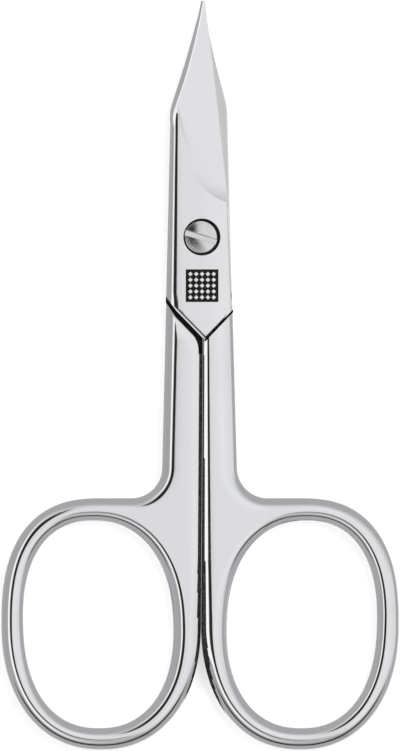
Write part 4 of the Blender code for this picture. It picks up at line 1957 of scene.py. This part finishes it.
@dataclass(frozen=True)
class Studio:
    """The camera, the pale floor and the light.

    Attributes:
        frame_height: Height of the picture on the scissors.
        frame_level: Height over the floor at which this is measured.
        distance: Height of the camera over the floor.
        clip: Nearest and farthest distance that the camera sees.
        sensor: Height of the camera's sensor.
        floor: Side of the floor.
        floor_grey: Colour of the floor.
        floor_lift: How much of the background's white is added for the camera and for reflections.
        tent: What lies around.
        lamps: The lamps.
    """

    frame_height: float = 90.12 * MM
    frame_level: float = 2 * MM
    distance: float = 750 * MM
    clip: tuple[float, float] = (10 * MM, 10000 * MM)
    sensor: float = 36.0
    floor: float = 1600 * MM
    floor_grey: float = 0.45
    floor_lift: float = 0.6
    tent: Tent = Tent()
    lamps: tuple[Lamp, ...] = (Lamp("main_lamp", (0.35, 0.25, 0.7), 0.5, 5.0),
                               Lamp("fill_lamp", (-0.5, -0.2, 0.8), 0.7, 3.0))

    def camera(self) -> None:
        """Looks straight down, with the scissors upright in the picture."""
        data = bpy.data.cameras.new("camera")
        data.sensor_fit = "VERTICAL"
        data.sensor_height = self.sensor
        data.lens = self.sensor * (self.distance - self.frame_level) / self.frame_height
        data.clip_start, data.clip_end = self.clip
        camera = bpy.data.objects.new("camera", data)
        camera.location = (0, 0, self.distance)
        bpy.context.collection.objects.link(camera)
        bpy.context.scene.camera = camera

    def floor_plane(self) -> None:
        """A large pale floor under the scissors."""
        build = bmesh.new()
        bmesh.ops.create_grid(build, x_segments=1, y_segments=1, size=self.floor / 2)
        data = bpy.data.meshes.new("floor")
        build.to_mesh(data)
        build.free()
        finish = bpy.data.materials.new("pale_floor")
        finish.use_nodes = True
        sheet = NodeSheet(finish.node_tree)
        paper = sheet.add("ShaderNodeBsdfDiffuse", Color=grey_colour(self.floor_grey)).outputs[0]
        path = sheet.add("ShaderNodeLightPath").outputs
        direct = sheet.maths("MAXIMUM", sheet.maths("MAXIMUM", path["Is Camera Ray"], path["Is Glossy Ray"]),
                             path["Is Transmission Ray"])
        lift = sheet.add("ShaderNodeEmission", Strength=sheet.maths(
            "MULTIPLY", direct, self.floor_lift)).outputs[0]
        both = sheet.add("ShaderNodeAddShader")
        sheet.feed(both.inputs[0], paper)
        sheet.feed(both.inputs[1], lift)
        sheet.add("ShaderNodeOutputMaterial", Surface=both.outputs[0])
        placed(data, finish)

    def build(self) -> None:
        """Sets the whole studio up."""
        bpy.context.scene.view_settings.view_transform = "Standard"
        self.camera()
        self.tent.build()
        self.floor_plane()
        for lamp in self.lamps:
            lamp.build()


def main() -> None:
    """Builds the scissors and their studio."""
    logging.basicConfig(level=logging.INFO, format="%(message)s")
    pivot = Vector(next(joint for joint in frame["joints"] if joint["name"] == "blade_pivot")["pos_m"])
    pivot_side = 0.1 * MM
    finishes = Finishes(
        polished=PolishedSteel().material(),
        ground=PolishedSteel("ground_steel", smooth=0.12, dull=0.2, hairline_turn=radians(90)).material(),
        # Ground steel for the inner faces: rougher, with its colour lowered as painted shade beside the other
        # blade.
        inner=PolishedSteel("inner_steel_painted_shade", (0.68, 0.687, 0.695), smooth=0.16, dull=0.24,
                            hairline_turn=radians(90)).material(),
        # Matt steel painted near black: painted shade in the seams, grooves, notch, relief and screw recess.
        dull=MattSteel("dull_steel_painted_shade", dark=0.016, light=0.075, band=(0.35, 0.75), scale=2600.0, detail=0.6,
                       relief=0.8, depth=0.01 * MM, dull=0.7, metal=0.6, shine=0.2).material())
    turned = TurnedSteel("turned_steel", tuple(pivot)).material()
    etched = MattSteel("black_etch", dark=0.003, light=0.011, band=(0.35, 0.72), scale=4200.0, detail=0.65,
                       relief=0.6, depth=0.004 * MM, dull=0.72, metal=0.0, shine=0.15).material()
    screw = PivotScrew()
    # The dull zones along the front's seam and where its rings part are painted dark as shade.
    front_handle = Handle(3.9 * MM, 4.6 * MM, 0.36 * MM, 0.12 * MM, seam_edge=0.64 * MM,
                          seam_edge_low=1.12 * MM, seam_painted_shade=0.07 * MM, seam_painted_shade_low=0.52 * MM,
                          ring_painted_shade=0.72 * MM, ring_painted_shade_side=3.2 * MM, seam_form=SEAM_EDGE)
    front = ScissorHalf("front_half", Side.FRONT, front_handle, JointBox(-0.15 * MM),
                        Blade(15.2 * MM, 0.55 * MM, spine_hollow=0.14 * MM), pivot_side, finishes)
    rear = ScissorHalf("rear_half", Side.REAR, Handle(4.1 * MM, 4.7 * MM, -0.36 * MM, -0.12 * MM),
                       JointBox(0.15 * MM, seam_inset=0.02 * MM), Blade(15.5 * MM, -0.42 * MM), -pivot_side,
                       finishes)
    front.build(pivot, screw.recess_cutter(front))
    rear.build(pivot)
    screw.build(front, pivot, turned)
    panel = EtchedPanel()
    panel.field(front.box_top, pivot, etched)
    panel.lattice(front.box_top, pivot, finishes.polished)
    Studio().build()


if __name__ == "__main__":
    main()
